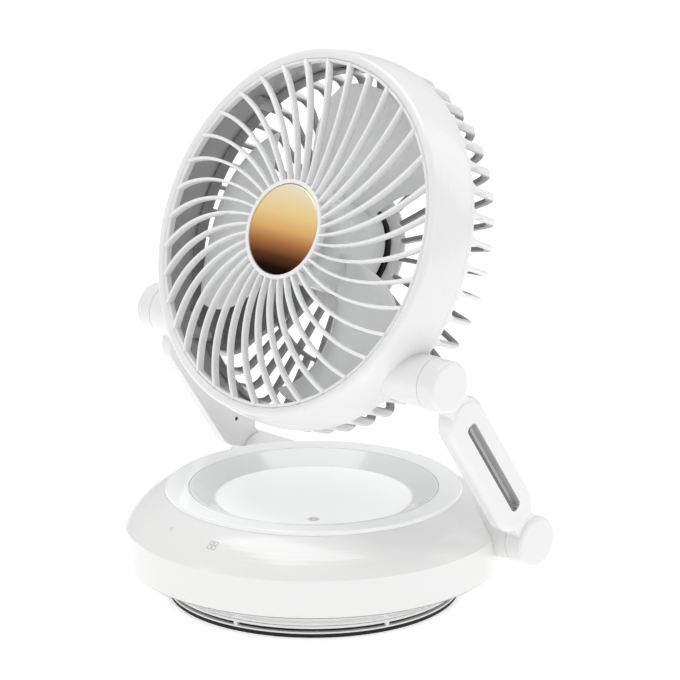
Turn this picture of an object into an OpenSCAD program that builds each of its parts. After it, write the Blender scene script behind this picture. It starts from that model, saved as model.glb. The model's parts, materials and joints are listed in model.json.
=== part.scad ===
// Folding cordless table fan with a lamp tray in its round base.
// Millimetres, +Z up, the front of the fan looks along -Y.
// Origin: centre of the foot, on the surface that the fan stands on.

/* [Base] */
// Radius of the base at its upright wall
base_r = 95; // [92:0.5:98]
// Height of the lower edge of the upright wall
wall_z0 = 18.2; // [17:0.1:20]
// Height of the upper edge of the upright wall
wall_z1 = 36.6; // [34:0.1:38]
// How far the shoulder above the wall bulges
shoulder_bulge = 2.2; // [1:0.1:3]
// Wall thickness of the two base shells
shell_t = 2.2; // [1.8:0.1:2.6]
// Outer radius of the clear rim ring
rim_r = 74.4; // [73:0.1:76]
// Height of the rim ring's top
rim_z = 54.4; // [53.5:0.1:55.4]
// Thickness of the rim ring
rim_t = 2; // [1.6:0.1:2.4]
// Radius of the standing foot's wall
foot_r = 73.8; // [73:0.1:76]
// Height of the foot's wall
foot_h = 6.2; // [5.8:0.1:7]
// Thickness of the rubber ring under the foot
foot_pad_t = 2.2; // [1.5:0.1:2.5]
// Width of the rubber ring
foot_pad_w = 15; // [10:0.5:18]
// Height of the air slots in the foot's wall
vent_h = 1.9; // [1.4:0.1:2.1]
// Number of air slots
vent_count = 6; // [4:1:8]
// Width of the web between two air slots, in degrees
vent_web = 1.5; // [1:0.5:6]

/* [Tray and lamp] */
// Radius of the tray's edge
tray_r = 62.4; // [61:0.1:63.5]
// Radius of the tray's flat floor
tray_floor_r = 50; // [46:0.5:52]
// Depth of the tray below its edge
tray_depth = 6; // [5.4:0.1:6.6]
// Wall thickness of the tray
tray_t = 1.6; // [1.2:0.1:2]
// Outer radius of the ring-shaped mark on the tray's floor
sensor_r = 3; // [2:0.1:5]
// Distance of that mark from the middle
sensor_at = 36; // [25:0.5:42]
// Radius of the lamp's circuit board
lamp_board_r = 44; // [38:0.5:45]
// Number of lamp chips on the outer circle
led_count = 16; // [8:1:24]
// Edge length of a lamp chip
led_w = 3.5; // [2.8:0.1:5]

/* [Power and controls] */
// Radius of a battery cell
cell_r = 9.2; // [8.8:0.1:10.5]
// Length of a battery cell
cell_l = 65; // [60:0.5:70]
// Thickness of the circuit boards
board_t = 1.6; // [1:0.1:2]
// Width of the control board
board_w = 46; // [40:1:48]
// Height of the control board's underside
board_z = 22.4; // [20:0.1:24]
// Width of the charging socket
usb_w = 8.94; // [8.9:0.01:9]
// Height of the charging socket
usb_h = 3.26; // [3.2:0.01:3.3]
// Radius of the light guide under the lamp's touch mark
lamp_key_r = 2.6; // [2:0.1:4]
// Radius of the light guide under the fan's touch mark
fan_key_r = 3.4; // [2.5:0.1:4.5]
// Thickness of the shell's skin over the light guides
key_skin_t = 0.7; // [0.5:0.1:1]
// Angle of the lamp key, from the front towards +X
lamp_key_az = -8.5; // [-12:0.5:-5]
// Angle of the fan key, from the front towards +X
fan_key_az = 11; // [6:0.5:14]

/* [Arms and hinges] */
// Distance of the lower hinge axis behind the middle
hinge_y = 51.1; // [49:0.1:53]
// Height of the lower hinge axis
hinge_z = 37.3; // [36:0.1:38.5]
// Distance between the lower and the upper hinge axis
arm_l = 111.3; // [109:0.1:114]
// Lean of the arms from upright towards the front
arm_lean = 34.5; // [30:0.5:38]
// Radius of the hinge barrels and knuckles
barrel_r = 12.7; // [12:0.1:13.2]
// Gap between the arms and the widest of base and head
arm_gap = 0.3; // [0.3:0.1:2]
// Thickness of an arm's inner half
arm_in_t = 3.5; // [2.8:0.1:4.5]
// Thickness of an arm's bar, both halves together
bar_t = 8.9; // [8:0.1:11]
// Thickness of an arm at its knuckles
knuckle_t = 10.2; // [9.6:0.1:12]
// Half the width of an arm's bar
bar_hw = 12.8; // [11:0.1:13.5]
// Distance of the bar's rounded ends' centres from the hinge axes
bar_end = 25; // [24:0.1:26]
// Half the width of the web that joins bar and knuckle
neck_hw = 7; // [6:0.1:9]
// Rounding of the bar's outer edge
bar_round = 3.5; // [2:0.1:4.5]
// Rounding of the knuckle's outer edge
knuckle_round = 2; // [1:0.1:3]
// Half the width of the slot in the bar
slot_hw = 2.4; // [1.5:0.1:4]
// Distance of the slot's lower end centre from the lower hinge axis
slot_low = 27; // [25:0.1:32]
// Distance of the slot's upper end centre from the upper hinge axis
slot_high = 29.5; // [25:0.1:33]
// Radius of the hinge pins
pin_r = 4; // [3.5:0.1:4.5]
// Radial running clearance of pins and shafts
run_gap = 0.05; // [0.02:0.01:0.09]
// Side gap between barrel and knuckle
side_gap = 0.3; // [0.2:0.05:0.4]

/* [Fan head] */
// Tilt of the head's face upwards from level
head_tilt = 21.75; // [15:0.25:28]
// Distance of the upper hinge axis below the head's centre
pivot_low = 52.8; // [52:0.1:54]
// Distance of the upper hinge axis behind the face
pivot_back = 25; // [24.5:0.1:25.5]
// Radius of the ring at its front
ring_front_r = 91.9; // [91:0.1:92.5]
// Radius of the ring at its rear edge
ring_rear_r = 94.6; // [94:0.1:94.9]
// Depth of the ring
ring_depth = 23.6; // [22:0.1:25]
// Wall of the ring between the air duct and its narrower edge
ring_wall = 4.3; // [3.9:0.1:4.7]
// Number of front spokes
spoke_count = 36; // [24:1:40]
// Width of a front spoke at the ring
spoke_w = 2.1; // [1.6:0.1:2.6]
// Width of a front spoke at the hub
spoke_hub_w = 1.4; // [1:0.1:2]
// Depth of a front spoke
spoke_depth = 4.4; // [3:0.1:5]
// Angle that a front spoke sweeps from hub to ring
spoke_sweep = 22; // [15:0.5:30]
// Angle between a spoke and the radius where it leaves the hub
spoke_lead = 7; // [0:0.5:12]
// Turn of the whole spoke pattern
spoke_turn = 4.8; // [0:0.1:10]
// Highest point of the domed front grille above the ring's face
dome_h = 6.8; // [5:0.1:8]
// Outer radius of the front grille's hub rim
hub_rim_r = 24.9; // [24:0.1:27]
// Width of the hub rim
hub_rim_w = 2.1; // [1.6:0.1:3]
// Thickness of the hub disc
badge_t = 2.6; // [2:0.1:3]
// Depth of the whole head behind its face
head_depth = 50; // [49.5:0.1:50.4]
// Number of rear ribs
rib_count = 45; // [30:1:46]
// Turn of the whole rear rib pattern
rib_turn = 2.6; // [0:0.1:8]
// Width of a rear rib
rib_w = 2.4; // [1.8:0.1:2.8]
// Depth of a rear rib
rib_depth = 4.8; // [4:0.1:5.2]
// Radius of the rear cage's rounded corner
cage_corner = 10; // [7:0.1:12]
// Angle that a rear rib sweeps from hub to side
rib_sweep = 0; // [0:0.5:20]
// Outer radius of the motor mount ring
mount_r = 32; // [27.5:0.1:34]
// Radius of the thin ring where every second rear rib ends
tie_r = 58; // [50:0.5:66]
// Width of the closed channel for the wires across the rear grille
channel_w = 36; // [30:1:40]

/* [Impeller and motor] */
// Gap between the blade tips and the air duct
tip_gap = 7.6; // [6.6:0.1:11]
// Number of blades
blade_count = 3; // [2:1:4]
// Angle that a blade covers at its tip
blade_span = 76; // [60:1:84]
// Angle by which the root of a blade's front edge runs ahead of its tip
blade_lead = 14; // [0:1:20]
// Angle by which a blade's rear edge sweeps back from root to tip
blade_sweep = 27; // [0:1:34]
// Turn of the impeller at rest
blade_turn = 96; // [0:1:120]
// Thickness of a blade
blade_t = 1.8; // [1.4:0.1:2.4]
// Outer radius of the impeller's hub
fan_hub_r = 24; // [22:0.1:25]
// Wall thickness of the impeller's hub
fan_hub_t = 2.2; // [1.6:0.1:3]
// Radius of the motor's can
motor_r = 14; // [12:0.1:17]
// Length of the motor's can
motor_l = 26.4; // [22:0.1:30]
// Radius of the motor's shaft
shaft_r = 1.6; // [1.2:0.1:2.2]

/* [Hidden] */
$fn = 96;
eps = 0.02;

white = [0.93, 0.93, 0.92];
off_white = [0.88, 0.88, 0.87];
grey = [0.55, 0.56, 0.58];
dark = [0.12, 0.12, 0.13];
steel = [0.7, 0.71, 0.73];
clear = [0.86, 0.89, 0.9];
green = [0.1, 0.35, 0.2];
amber = [0.95, 0.8, 0.4];
gold = [0.8, 0.55, 0.28];

// Fit gap between two pieces of one body
fit = 0.1;
// Radial allowance between a moulded part and the edge it drops into
seat_gap = 0.4;
duct_r = min(ring_front_r, ring_rear_r) - ring_wall;
impeller_r = duct_r - tip_gap;
arm_x = max(base_r, ring_front_r, ring_rear_r) + arm_gap;
barrel_root = 9.39;
barrel_len = 14;
barrel_in_x = sqrt(pow(base_r - shell_t, 2) - pow(hinge_y + barrel_r, 2)) - barrel_root;
rim_seat_z = rim_z - rim_t;
tray_floor_z = rim_z - 0.4 - tray_depth;
tray_flange_t = 1.6;
tray_flange_w = 6.4;
tray_seat_z = rim_seat_z - tray_flange_t;
floor_z = foot_pad_t + 2;
vent_z = foot_pad_t + 0.8;
liner_z = vent_z - 0.2;

// Base screws and the columns that they pull on
column_at = 65.5;
column_r = 3.6;
column_angles = [-50, -130, 20, 160, 62, 118];
screw_r = 1.5;
screw_head_r = 2.8;
screw_head_h = 1.1;
base_screw_l = 14;
board_screw_l = 6;

// ---------- helpers ----------

// Points of an arc from p to q that bulges by sag to the right, or to the left if sag is negative
function arc_radius(p, q, sag) = (norm(q - p) * norm(q - p) / 4 + sag * sag) / (2 * sag);
function arc_centre(p, q, sag) =
    let (u = (q - p) / norm(q - p))
    (p + q) / 2 - [u.y, -u.x] * (arc_radius(p, q, sag) - sag);
function arc_angle(p, c) = atan2(p.y - c.y, p.x - c.x);
function arc_point(p, q, sag, k) =
    let (c = arc_centre(p, q, sag), a = arc_angle(p, c), b = arc_angle(q, c))
    c + abs(arc_radius(p, q, sag)) * [cos(a + (b - a) * k), sin(a + (b - a) * k)];
function arc_points(p, q, sag, n) = [for (i = [0:n]) arc_point(p, q, sag, i / n)];

// Direction at an angle from the front (-Y) towards +X
function from_front(az) = [sin(az), -cos(az)];

// Revolved body from a list of [radius, height]
module turned(points, fn = 120) {
    rotate_extrude($fn = fn)
        polygon(points);
}

// Ring between two radii and two heights
module ring(r_out, r_in, z0, z1, fn = 96) {
    difference() {
        translate([0, 0, z0])
            cylinder(r = r_out, h = z1 - z0, $fn = fn);
        translate([0, 0, z0 - 1])
            cylinder(r = r_in, h = z1 - z0 + 2, $fn = fn);
    }
}

// Round bar along X from x0 to x1
module x_rod(r, x0, x1, fn = 64) {
    translate([x0, 0, 0])
        rotate([0, 90, 0])
            cylinder(r = r, h = x1 - x0, $fn = fn);
}

// Children on the right, or mirrored to the left
module side(right) {
    if (right) {
        children();
    } else {
        mirror([1, 0, 0])
            children();
    }
}

// Both sides at once
module both_sides() {
    side(true)
        children();
    side(false)
        children();
}

// Frames: the lower hinge axis, the upper hinge axis, an arm and the head
arm_dir = [0, -sin(arm_lean), cos(arm_lean)];
lower_axis = [0, hinge_y, hinge_z];
upper_axis = lower_axis + arm_l * arm_dir;
face_up = [0, sin(head_tilt), cos(head_tilt)];
face_out = [0, -cos(head_tilt), sin(head_tilt)];
head_centre = upper_axis + pivot_low * face_up + pivot_back * face_out;

module at_lower_axis() {
    translate(lower_axis)
        children();
}

module at_upper_axis() {
    translate(upper_axis)
        children();
}

// Arm frame: y runs from the lower to the upper axis, z points away from the middle plane
module in_arm(right) {
    side(right)
        translate(lower_axis)
            rotate([90 + arm_lean, 0, 0])
                rotate([0, 90, 0])
                    children();
}

// Head frame: z points out of the face, y up the face, origin in the face's middle
module in_head() {
    translate(head_centre)
        rotate([90 - head_tilt, 0, 0])
            children();
}

// The upper axis seen from the head frame
module at_head_pivot() {
    translate([0, -pivot_low, -pivot_back])
        children();
}

// ---------- base ----------

// Rubber ring that the fan stands on, with a tongue that is glued into the foot
tongue_w = 2;
tongue_h = 1;
tongue_in = 12.4;

module foot_tongue(grow) {
    r = foot_r - tongue_in;
    ring(r + grow, r - tongue_w - grow, foot_pad_t - eps, foot_pad_t + tongue_h + grow);
}

module foot_ring() {
    color(dark) {
        ring(foot_r - 0.6, foot_r - 0.6 - foot_pad_w, 0, foot_pad_t);
        foot_tongue(0);
    }
}

// Lower shell: floor, slotted foot wall, sloping underside and a tongue inside the upper wall
reveal = 0.6;
lap_h = 2.4;
lap_r = base_r - shell_t - 0.2;
step_in = 3.1;

function lower_profile() = [
    [0, foot_pad_t],
    [foot_r, foot_pad_t],
    [foot_r + 0.4, foot_h],
    [foot_r - 0.4, foot_h],
    [foot_r - 0.4, foot_h + 0.5],
    [foot_r + 0.8, foot_h + 0.5],
    [base_r - reveal, wall_z0 - reveal],
    [lap_r, wall_z0 - reveal],
    [lap_r, wall_z0 + lap_h],
    [lap_r - shell_t + 0.2, wall_z0 + lap_h],
    [lap_r - shell_t + 0.2, wall_z0 - 1.2],
    [foot_r - shell_t + 0.8, foot_h + shell_t],
    [foot_r - shell_t, foot_h],
    [foot_r - shell_t, liner_z],
    [foot_r - shell_t - step_in, liner_z],
    [foot_r - shell_t - step_in, floor_z],
    [0, floor_z]
];

// Room inside the lower shell, which trims ribs to its sloping wall
function inner_room() = [
    [0, floor_z - 0.3],
    [foot_r - shell_t - step_in, floor_z - 0.3],
    [foot_r - shell_t + 0.8, foot_h + shell_t - 0.4],
    [lap_r - shell_t + 0.4, wall_z0 - 1.5],
    [lap_r - shell_t + 0.4, rim_z],
    [0, rim_z]
];

saddle_x = barrel_in_x + 2;
saddle_w = 6;
saddle_y = 10;
board_post_r = 3;
board_y0 = 50;
board_y1 = 77;
board_post_in = 4;

module board_corners() {
    for (sx = [-1, 1])
        for (y = [board_y0 + board_post_in, board_y1 - board_post_in])
            translate([sx * (board_w / 2 - board_post_in), y, 0])
                children();
}

module lower_ribs() {
    both_sides()
        translate([saddle_x, hinge_y - saddle_y, 0])
            cube([saddle_w, 2 * saddle_y - 1, hinge_z - barrel_r / 2]);
    board_corners()
        cylinder(r = board_post_r, h = board_z, $fn = 32);
    for (a = column_angles)
        rotate(a)
            translate([column_at, 0, 0])
                cylinder(r = column_r + 1, h = floor_z + 2, $fn = 32);
}

module lower_shell() {
    color(white)
        difference() {
            union() {
                turned(lower_profile());
                intersection() {
                    lower_ribs();
                    turned(inner_room());
                }
            }
            for (i = [0:vent_count - 1])
                rotate(-75 + vent_web / 2 + i * 360 / vent_count)
                    rotate_extrude(angle = 360 / vent_count - vent_web, $fn = 120)
                        translate([foot_r - shell_t - 1, vent_z])
                            square([shell_t + 3, vent_h]);
            foot_tongue(fit);
            both_sides()
                at_lower_axis()
                    x_rod(barrel_r + run_gap, saddle_x - 10, base_r);
            board_corners()
                translate([0, 0, board_z - 10])
                    cylinder(r = screw_r, h = 12, $fn = 32);
            for (a = column_angles)
                rotate(a)
                    translate([column_at, 0, foot_pad_t - 1]) {
                        cylinder(r = screw_r + 0.2, h = 10, $fn = 32);
                        cylinder(r = screw_head_r + 0.3, h = 1 + screw_head_h + fit, $fn = 32);
                    }
        }
}

// Black mesh ring behind the air slots
liner_t = 1.4;

module vent_liner() {
    r = foot_r - shell_t - 0.2;
    color(dark)
        ring(r, r - liner_t, liner_z, vent_z + vent_h + 0.6);
}

// Upper shell: upright wall, bulging shoulder, seats for the rim ring and the tray
shoulder_low = [base_r, wall_z1];
shoulder_high = [rim_r - 0.4, rim_seat_z];
shoulder_in_low = [base_r - shell_t, wall_z1 - 0.8];
shoulder_in_high = [rim_r - 1.4, rim_seat_z - shell_t - 1.6];
seat_in_r = tray_r + 1;
seat_out_r = tray_r + tray_flange_w + fit;
key_k = 0.54;

function upper_profile() = concat(
    [[base_r, wall_z0]],
    arc_points(shoulder_low, shoulder_high, shoulder_bulge, 10),
    [
        [seat_out_r, rim_seat_z],
        [seat_out_r, tray_seat_z],
        [seat_in_r, tray_seat_z],
        [seat_in_r, tray_seat_z - 2]
    ],
    arc_points(shoulder_in_high, shoulder_in_low, -shoulder_bulge, 8),
    [[base_r - shell_t, wall_z0]]
);

// Blind pocket from inside, which leaves the skin over a light guide
module key_pocket(r) {
    translate([0, 0, -shell_t * 3])
        cylinder(r = r + fit, h = shell_t * 3 - key_skin_t, $fn = 48);
}

// Children on the shoulder at an angle from the front, z pointing out of the surface
module on_shoulder(az) {
    p = arc_point(shoulder_low, shoulder_high, shoulder_bulge, key_k);
    c = arc_centre(shoulder_low, shoulder_high, shoulder_bulge);
    rotate(az - 90)
        translate([p.x, 0, p.y])
            rotate([0, 90 - arc_angle(p, c), 0])
                children();
}

socket_y = 84.6;
socket_l = 8.4;
usb_z = board_z + board_t;

// Rounded rectangle, w wide and h high, extruded by l
module pill(w, h, l) {
    linear_extrude(l) {
        square([w - h, h], center = true);
        for (s = [-1, 1])
            translate([s * (w - h) / 2, 0])
                circle(d = h, $fn = 32);
    }
}

// Socket shapes run along +Y and rest on the control board
module at_socket(y) {
    translate([0, y, usb_z + usb_h / 2])
        rotate([-90, 0, 0])
            children();
}

module upper_shell() {
    color(white)
        difference() {
            union() {
                turned(upper_profile());
                for (a = column_angles)
                    rotate(a)
                        translate([column_at, 0, floor_z + 2.2])
                            cylinder(r = column_r, h = tray_seat_z - floor_z - 3, $fn = 32);
            }
            for (a = column_angles)
                rotate(a)
                    translate([column_at, 0, floor_z])
                        cylinder(r = screw_r, h = 14, $fn = 32);
            both_sides()
                at_lower_axis()
                    x_rod(barrel_r + run_gap, saddle_x - 12, base_r + 5);
            at_socket(base_r - 10)
                pill(usb_w + 2.4, usb_h + 2.4, 20);
            on_shoulder(lamp_key_az)
                key_pocket(lamp_key_r);
            on_shoulder(fan_key_az)
                key_pocket(fan_key_r);
        }
}

// Clear rim ring, bonded on the shell around the tray
rim_in_r = tray_r + seat_gap;

module rim_ring() {
    color(clear)
        turned([
            [rim_in_r, rim_seat_z],
            [rim_in_r, rim_z - 0.5],
            [rim_in_r + 0.6, rim_z - 0.3],
            [rim_r - 0.9, rim_z],
            [rim_r - 0.2, rim_z - 0.3],
            [rim_r, rim_z - 0.9],
            [rim_r, rim_seat_z]
        ]);
}

// Tray: milky floor with a sloping wall, which is also the lamp's diffuser
slope = (tray_r - 1 - tray_floor_r) / tray_depth;

module tray() {
    color(off_white)
        difference() {
            turned([
                [0, tray_floor_z - tray_t],
                [tray_floor_r + 0.4, tray_floor_z - tray_t],
                [tray_floor_r + 0.4 + (tray_seat_z - tray_floor_z + tray_t) * slope, tray_seat_z],
                [tray_r + tray_flange_w, tray_seat_z],
                [tray_r + tray_flange_w, rim_seat_z],
                [tray_r, rim_seat_z],
                [tray_r, rim_z - 0.6],
                [tray_r - 0.4, rim_z - 0.4],
                [tray_r - 1, rim_z - 0.4],
                [tray_floor_r, tray_floor_z],
                [0, tray_floor_z]
            ]);
            at_sensor()
                cylinder(r = sensor_r + fit, h = 5, $fn = 48);
        }
}

// Small round window in the tray's floor
sensor_t = 0.9;
sensor_az = 46;

module at_sensor() {
    d = from_front(sensor_az) * sensor_at;
    translate([d.x, d.y, tray_floor_z - sensor_t])
        children();
}

module tray_sensor() {
    color(grey)
        at_sensor()
            cylinder(r = sensor_r, h = sensor_t + 0.05, $fn = 48);
}

// Reflector cup under the tray, which carries the lamp board
reflector_t = 1.4;
lamp_gap = 3.2;
lamp_board_z = tray_floor_z - tray_t - lamp_gap - board_t;
reflector_top_r = tray_r - 0.6;

module lamp_reflector() {
    color(white)
        turned([
            [0, lamp_board_z - reflector_t],
            [lamp_board_r + 2, lamp_board_z - reflector_t],
            [reflector_top_r, tray_seat_z - 1.4],
            [reflector_top_r, tray_seat_z - fit],
            [reflector_top_r - reflector_t, tray_seat_z - fit],
            [reflector_top_r - reflector_t, tray_seat_z - 1],
            [lamp_board_r + 0.6, lamp_board_z],
            [0, lamp_board_z]
        ]);
}

module lamp_board() {
    color(steel)
        ring(lamp_board_r, 6, lamp_board_z, lamp_board_z + board_t);
}

led_h = 0.8;
led_circle = 32;
led_inner_circle = 16;

module lamp_leds() {
    color(amber)
        translate([0, 0, lamp_board_z + board_t]) {
            for (i = [0:led_count - 1])
                rotate(i * 360 / led_count)
                    translate([led_circle, 0, led_h / 2])
                        cube([led_w, led_w, led_h], center = true);
            for (i = [0:led_count / 2 - 1])
                rotate(i * 720 / led_count)
                    translate([led_inner_circle, 0, led_h / 2])
                        cube([led_w, led_w, led_h], center = true);
        }
}

// Battery: two cells side by side in an open holder on the floor
cell_pitch = 2 * cell_r + 1;
cells_y = -14;
holder_t = 1.6;

module battery_holder() {
    w = cell_l + 2 * holder_t + 1;
    d = cell_pitch + 2 * cell_r + 2 * holder_t + 1;
    color(dark)
        translate([0, cells_y, floor_z])
            difference() {
                translate([-w / 2, -d / 2, 0])
                    cube([w, d, holder_t + cell_r]);
                translate([-w / 2 + holder_t, -d / 2 + holder_t, holder_t])
                    cube([w - 2 * holder_t, d - 2 * holder_t, cell_r * 2]);
                translate([-cell_l / 4, -d, holder_t + cell_r / 2])
                    cube([cell_l / 2, 2 * d, cell_r * 2]);
            }
}

module battery_cells() {
    color("SteelBlue")
        for (s = [-1, 1])
            translate([0, cells_y + s * cell_pitch / 2, floor_z + holder_t + cell_r + fit])
                x_rod(cell_r, -cell_l / 2, cell_l / 2);
}

// Control board on four posts, with a tongue that carries the charging socket
module control_board() {
    color(green)
        difference() {
            union() {
                translate([-board_w / 2, board_y0, board_z])
                    cube([board_w, board_y1 - board_y0, board_t]);
                translate([-8, board_y1 - 1, board_z])
                    cube([16, 14, board_t]);
            }
            board_corners()
                translate([0, 0, board_z - 1])
                    cylinder(r = screw_r, h = board_t + 2, $fn = 32);
        }
}

// Chip, coil, capacitors and connector
chip_w = 8;
chip_h = 1.2;
coil_w = 7;
coil_h = 4;
cap_r = 2.5;
cap_h = 6;
cap_at = 16;
plug_w = 12;
plug_d = 4;
plug_h = 4.5;

module control_parts() {
    z = board_z + board_t;
    mid = (board_y0 + board_y1) / 2;
    color(dark) {
        translate([-chip_w - 1, mid - chip_w / 2, z])
            cube([chip_w, chip_w, chip_h]);
        translate([coil_w / 2, mid - coil_w / 2, z])
            cube([coil_w, coil_w, coil_h]);
        for (s = [-1, 1])
            translate([s * cap_at, mid, z])
                cylinder(r = cap_r, h = cap_h, $fn = 32);
        translate([-plug_w / 2, board_y0 + 1, z])
            cube([plug_w, plug_d, plug_h]);
    }
}

module usb_socket() {
    color(steel)
        difference() {
            at_socket(socket_y)
                pill(usb_w, usb_h, socket_l);
            at_socket(socket_y + 1)
                difference() {
                    pill(usb_w - 0.6, usb_h - 0.6, socket_l);
                    translate([-3.3, -0.35, -1])
                        cube([6.6, 0.7, socket_l]);
                }
        }
}

module small_screw(shank, len, head) {
    cylinder(r = shank, h = len, $fn = 32);
    translate([0, 0, len])
        difference() {
            cylinder(r = head, h = screw_head_h, $fn = 32);
            translate([-0.3, -head, screw_head_h * 0.5])
                cube([0.6, 2 * head, screw_head_h]);
        }
}

module board_screws() {
    color(steel)
        board_corners()
            translate([0, 0, board_z - board_screw_l])
                small_screw(screw_r, board_screw_l + board_t, screw_head_r);
}

module base_screws() {
    color(steel)
        for (a = column_angles)
            rotate(a)
                translate([column_at, 0, foot_pad_t + screw_head_h + fit])
                    mirror([0, 0, 1])
                        translate([0, 0, -base_screw_l])
                            small_screw(screw_r, base_screw_l, screw_head_r);
}

// Touch sensor board under the shoulder, one foam pad for each light guide
touch_drop = 6.5;
touch_board_w = 10;
touch_board_l = 38;
touch_board_t = 1.2;
touch_mid = (lamp_key_az + fan_key_az) / 2;

module touch_board() {
    color(green)
        on_shoulder(touch_mid)
            translate([-touch_board_w / 2, -touch_board_l / 2, -touch_drop - touch_board_t])
                cube([touch_board_w, touch_board_l, touch_board_t]);
}

module touch_pads() {
    color(dark)
        intersection() {
            union() {
                on_shoulder(lamp_key_az)
                    translate([0, 0, -touch_drop - 1])
                        cylinder(r = lamp_key_r, h = touch_drop + 1 - shell_t, $fn = 32);
                on_shoulder(fan_key_az)
                    translate([0, 0, -touch_drop - 1])
                        cylinder(r = fan_key_r, h = touch_drop + 1 - shell_t, $fn = 32);
            }
            on_shoulder(touch_mid)
                translate([-touch_board_w, -touch_board_l, -touch_drop])
                    cube([2 * touch_board_w, 2 * touch_board_l, 2 * touch_drop]);
        }
}

// A touch key: a light guide in its pocket, under the shell's skin
module light_guide(r) {
    translate([0, 0, -shell_t])
        cylinder(r = r, h = shell_t - key_skin_t - fit, $fn = 48);
}

module lamp_key() {
    color(grey)
        on_shoulder(lamp_key_az)
            light_guide(lamp_key_r);
}

module fan_key() {
    color(grey)
        on_shoulder(fan_key_az)
            light_guide(fan_key_r);
}

// ---------- lower hinge ----------

barrel_end_x = arm_x - side_gap;
washer_r = 9;
washer_recess = 1.2;
nut_t = 2.6;
nut_af_r = 7.5;
spring_t = 0.7;
flange_r = 7.5;
flange_t = 2.8;

module barrel_core(x0) {
    x_rod(pin_r + run_gap, x0 - 1, barrel_end_x + 1);
    x_rod(washer_r + fit, barrel_end_x - washer_recess, barrel_end_x + 1);
}

module base_barrel(right) {
    color(white)
        side(right)
            at_lower_axis()
                difference() {
                    x_rod(barrel_r, barrel_in_x, barrel_end_x, 96);
                    barrel_core(barrel_in_x);
                }
}

// Fibre washer between barrel and knuckle
module hinge_washer() {
    difference() {
        x_rod(washer_r, barrel_end_x - washer_recess, arm_x - 0.15);
        x_rod(pin_r + 0.35, barrel_end_x - 5, arm_x + 1);
    }
}

module lower_washer(right) {
    color(dark)
        side(right)
            at_lower_axis()
                hinge_washer();
}

// Nut and spring washer on a pin's inner end, which set the hinge's drag
module hinge_nut(x) {
    translate([x - nut_t, 0, 0])
        rotate([0, 90, 0])
            difference() {
                cylinder(r = nut_af_r, h = nut_t, $fn = 6);
                translate([0, 0, -1])
                    cylinder(r = pin_r, h = nut_t + 2, $fn = 64);
            }
}

module hinge_spring(x) {
    difference() {
        x_rod(nut_af_r - 0.5, x - spring_t, x);
        x_rod(pin_r, x - spring_t - 1, x + 1);
    }
}

pin_out_x = arm_x + arm_in_t + flange_t + 0.2;
pin_tip_l = 1;

module hinge_pin(x0) {
    x_rod(pin_r, x0, pin_out_x);
    x_rod(flange_r, arm_x + arm_in_t, pin_out_x);
}

lower_seat_x = barrel_in_x - side_gap;

module lower_pin(right) {
    color(steel)
        side(right)
            at_lower_axis()
                hinge_pin(lower_seat_x - spring_t - nut_t - pin_tip_l);
}

module lower_nuts() {
    color(steel)
        both_sides()
            at_lower_axis()
                hinge_nut(lower_seat_x - spring_t);
}

module lower_springs() {
    color(grey)
        both_sides()
            at_lower_axis()
                hinge_spring(lower_seat_x);
}

// ---------- arms ----------

slot_shift = 0.8;
neck_step = 0.4;
drain_r = 1.1;

// Half section of a plate with a rounded top edge, w from its middle to its side
module edge_section(w, t, round) {
    square([w - round, t]);
    square([w, t - round]);
    intersection() {
        translate([w - round, t - round])
            circle(r = round, $fn = 48);
        square([w, t]);
    }
}

// Disc whose top edge is rounded
module round_disc(r, t, round) {
    rotate_extrude($fn = 96)
        edge_section(r, t, round);
}

// Straight bar with rounded ends and rounded top edges, between two points on y
module round_bar(y0, y1, hw, t, round) {
    for (y = [y0, y1])
        translate([0, y, 0])
            round_disc(hw, t, round);
    translate([0, y1, 0])
        rotate([90, 0, 0])
            linear_extrude(y1 - y0)
                for (s = [0, 1])
                    mirror([s, 0, 0])
                        edge_section(hw, t, round);
}

module arm_slot() {
    y0 = slot_low;
    y1 = arm_l - slot_high;
    translate([slot_shift, 0, -1])
        linear_extrude(knuckle_t + 2) {
            for (y = [y0, y1])
                translate([0, y])
                    circle(r = slot_hw, $fn = 48);
            translate([-slot_hw, y0])
                square([2 * slot_hw, y1 - y0]);
        }
}

peg_at = 17.5;
peg_r = 1.2;
peg_in = 2;

module peg_places() {
    for (y = [peg_at, arm_l - peg_at])
        translate([0, y, 0])
            children();
}

// Blind holes for the pegs on both sides of the joint between cover and plate
module peg_holes() {
    peg_places()
        translate([0, 0, -peg_in - fit])
            cylinder(r = peg_r, h = 2 * (peg_in + fit), $fn = 32);
}

// Webs between the bar and the knuckles
module arm_necks(t) {
    for (y = [0, arm_l - bar_end])
        translate([-neck_hw, y, 0])
            cube([2 * neck_hw, bar_end, t]);
}

// Outer half of an arm: closed cover with both knuckle ends
module arm_cover(right) {
    t = knuckle_t - arm_in_t;
    color(white)
        in_arm(right)
            translate([0, 0, arm_x + arm_in_t])
                difference() {
                    union() {
                        for (y = [0, arm_l])
                            translate([0, y, 0])
                                round_disc(barrel_r, t, knuckle_round);
                        round_bar(bar_end, arm_l - bar_end, bar_hw, bar_t - arm_in_t, bar_round);
                        arm_necks(bar_t - arm_in_t - neck_step);
                    }
                    for (y = [0, arm_l])
                        translate([0, y, -1])
                            cylinder(r = flange_r + run_gap, h = 1 + flange_t + 0.3, $fn = 64);
                    arm_slot();
                    peg_holes();
                }
}

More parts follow.
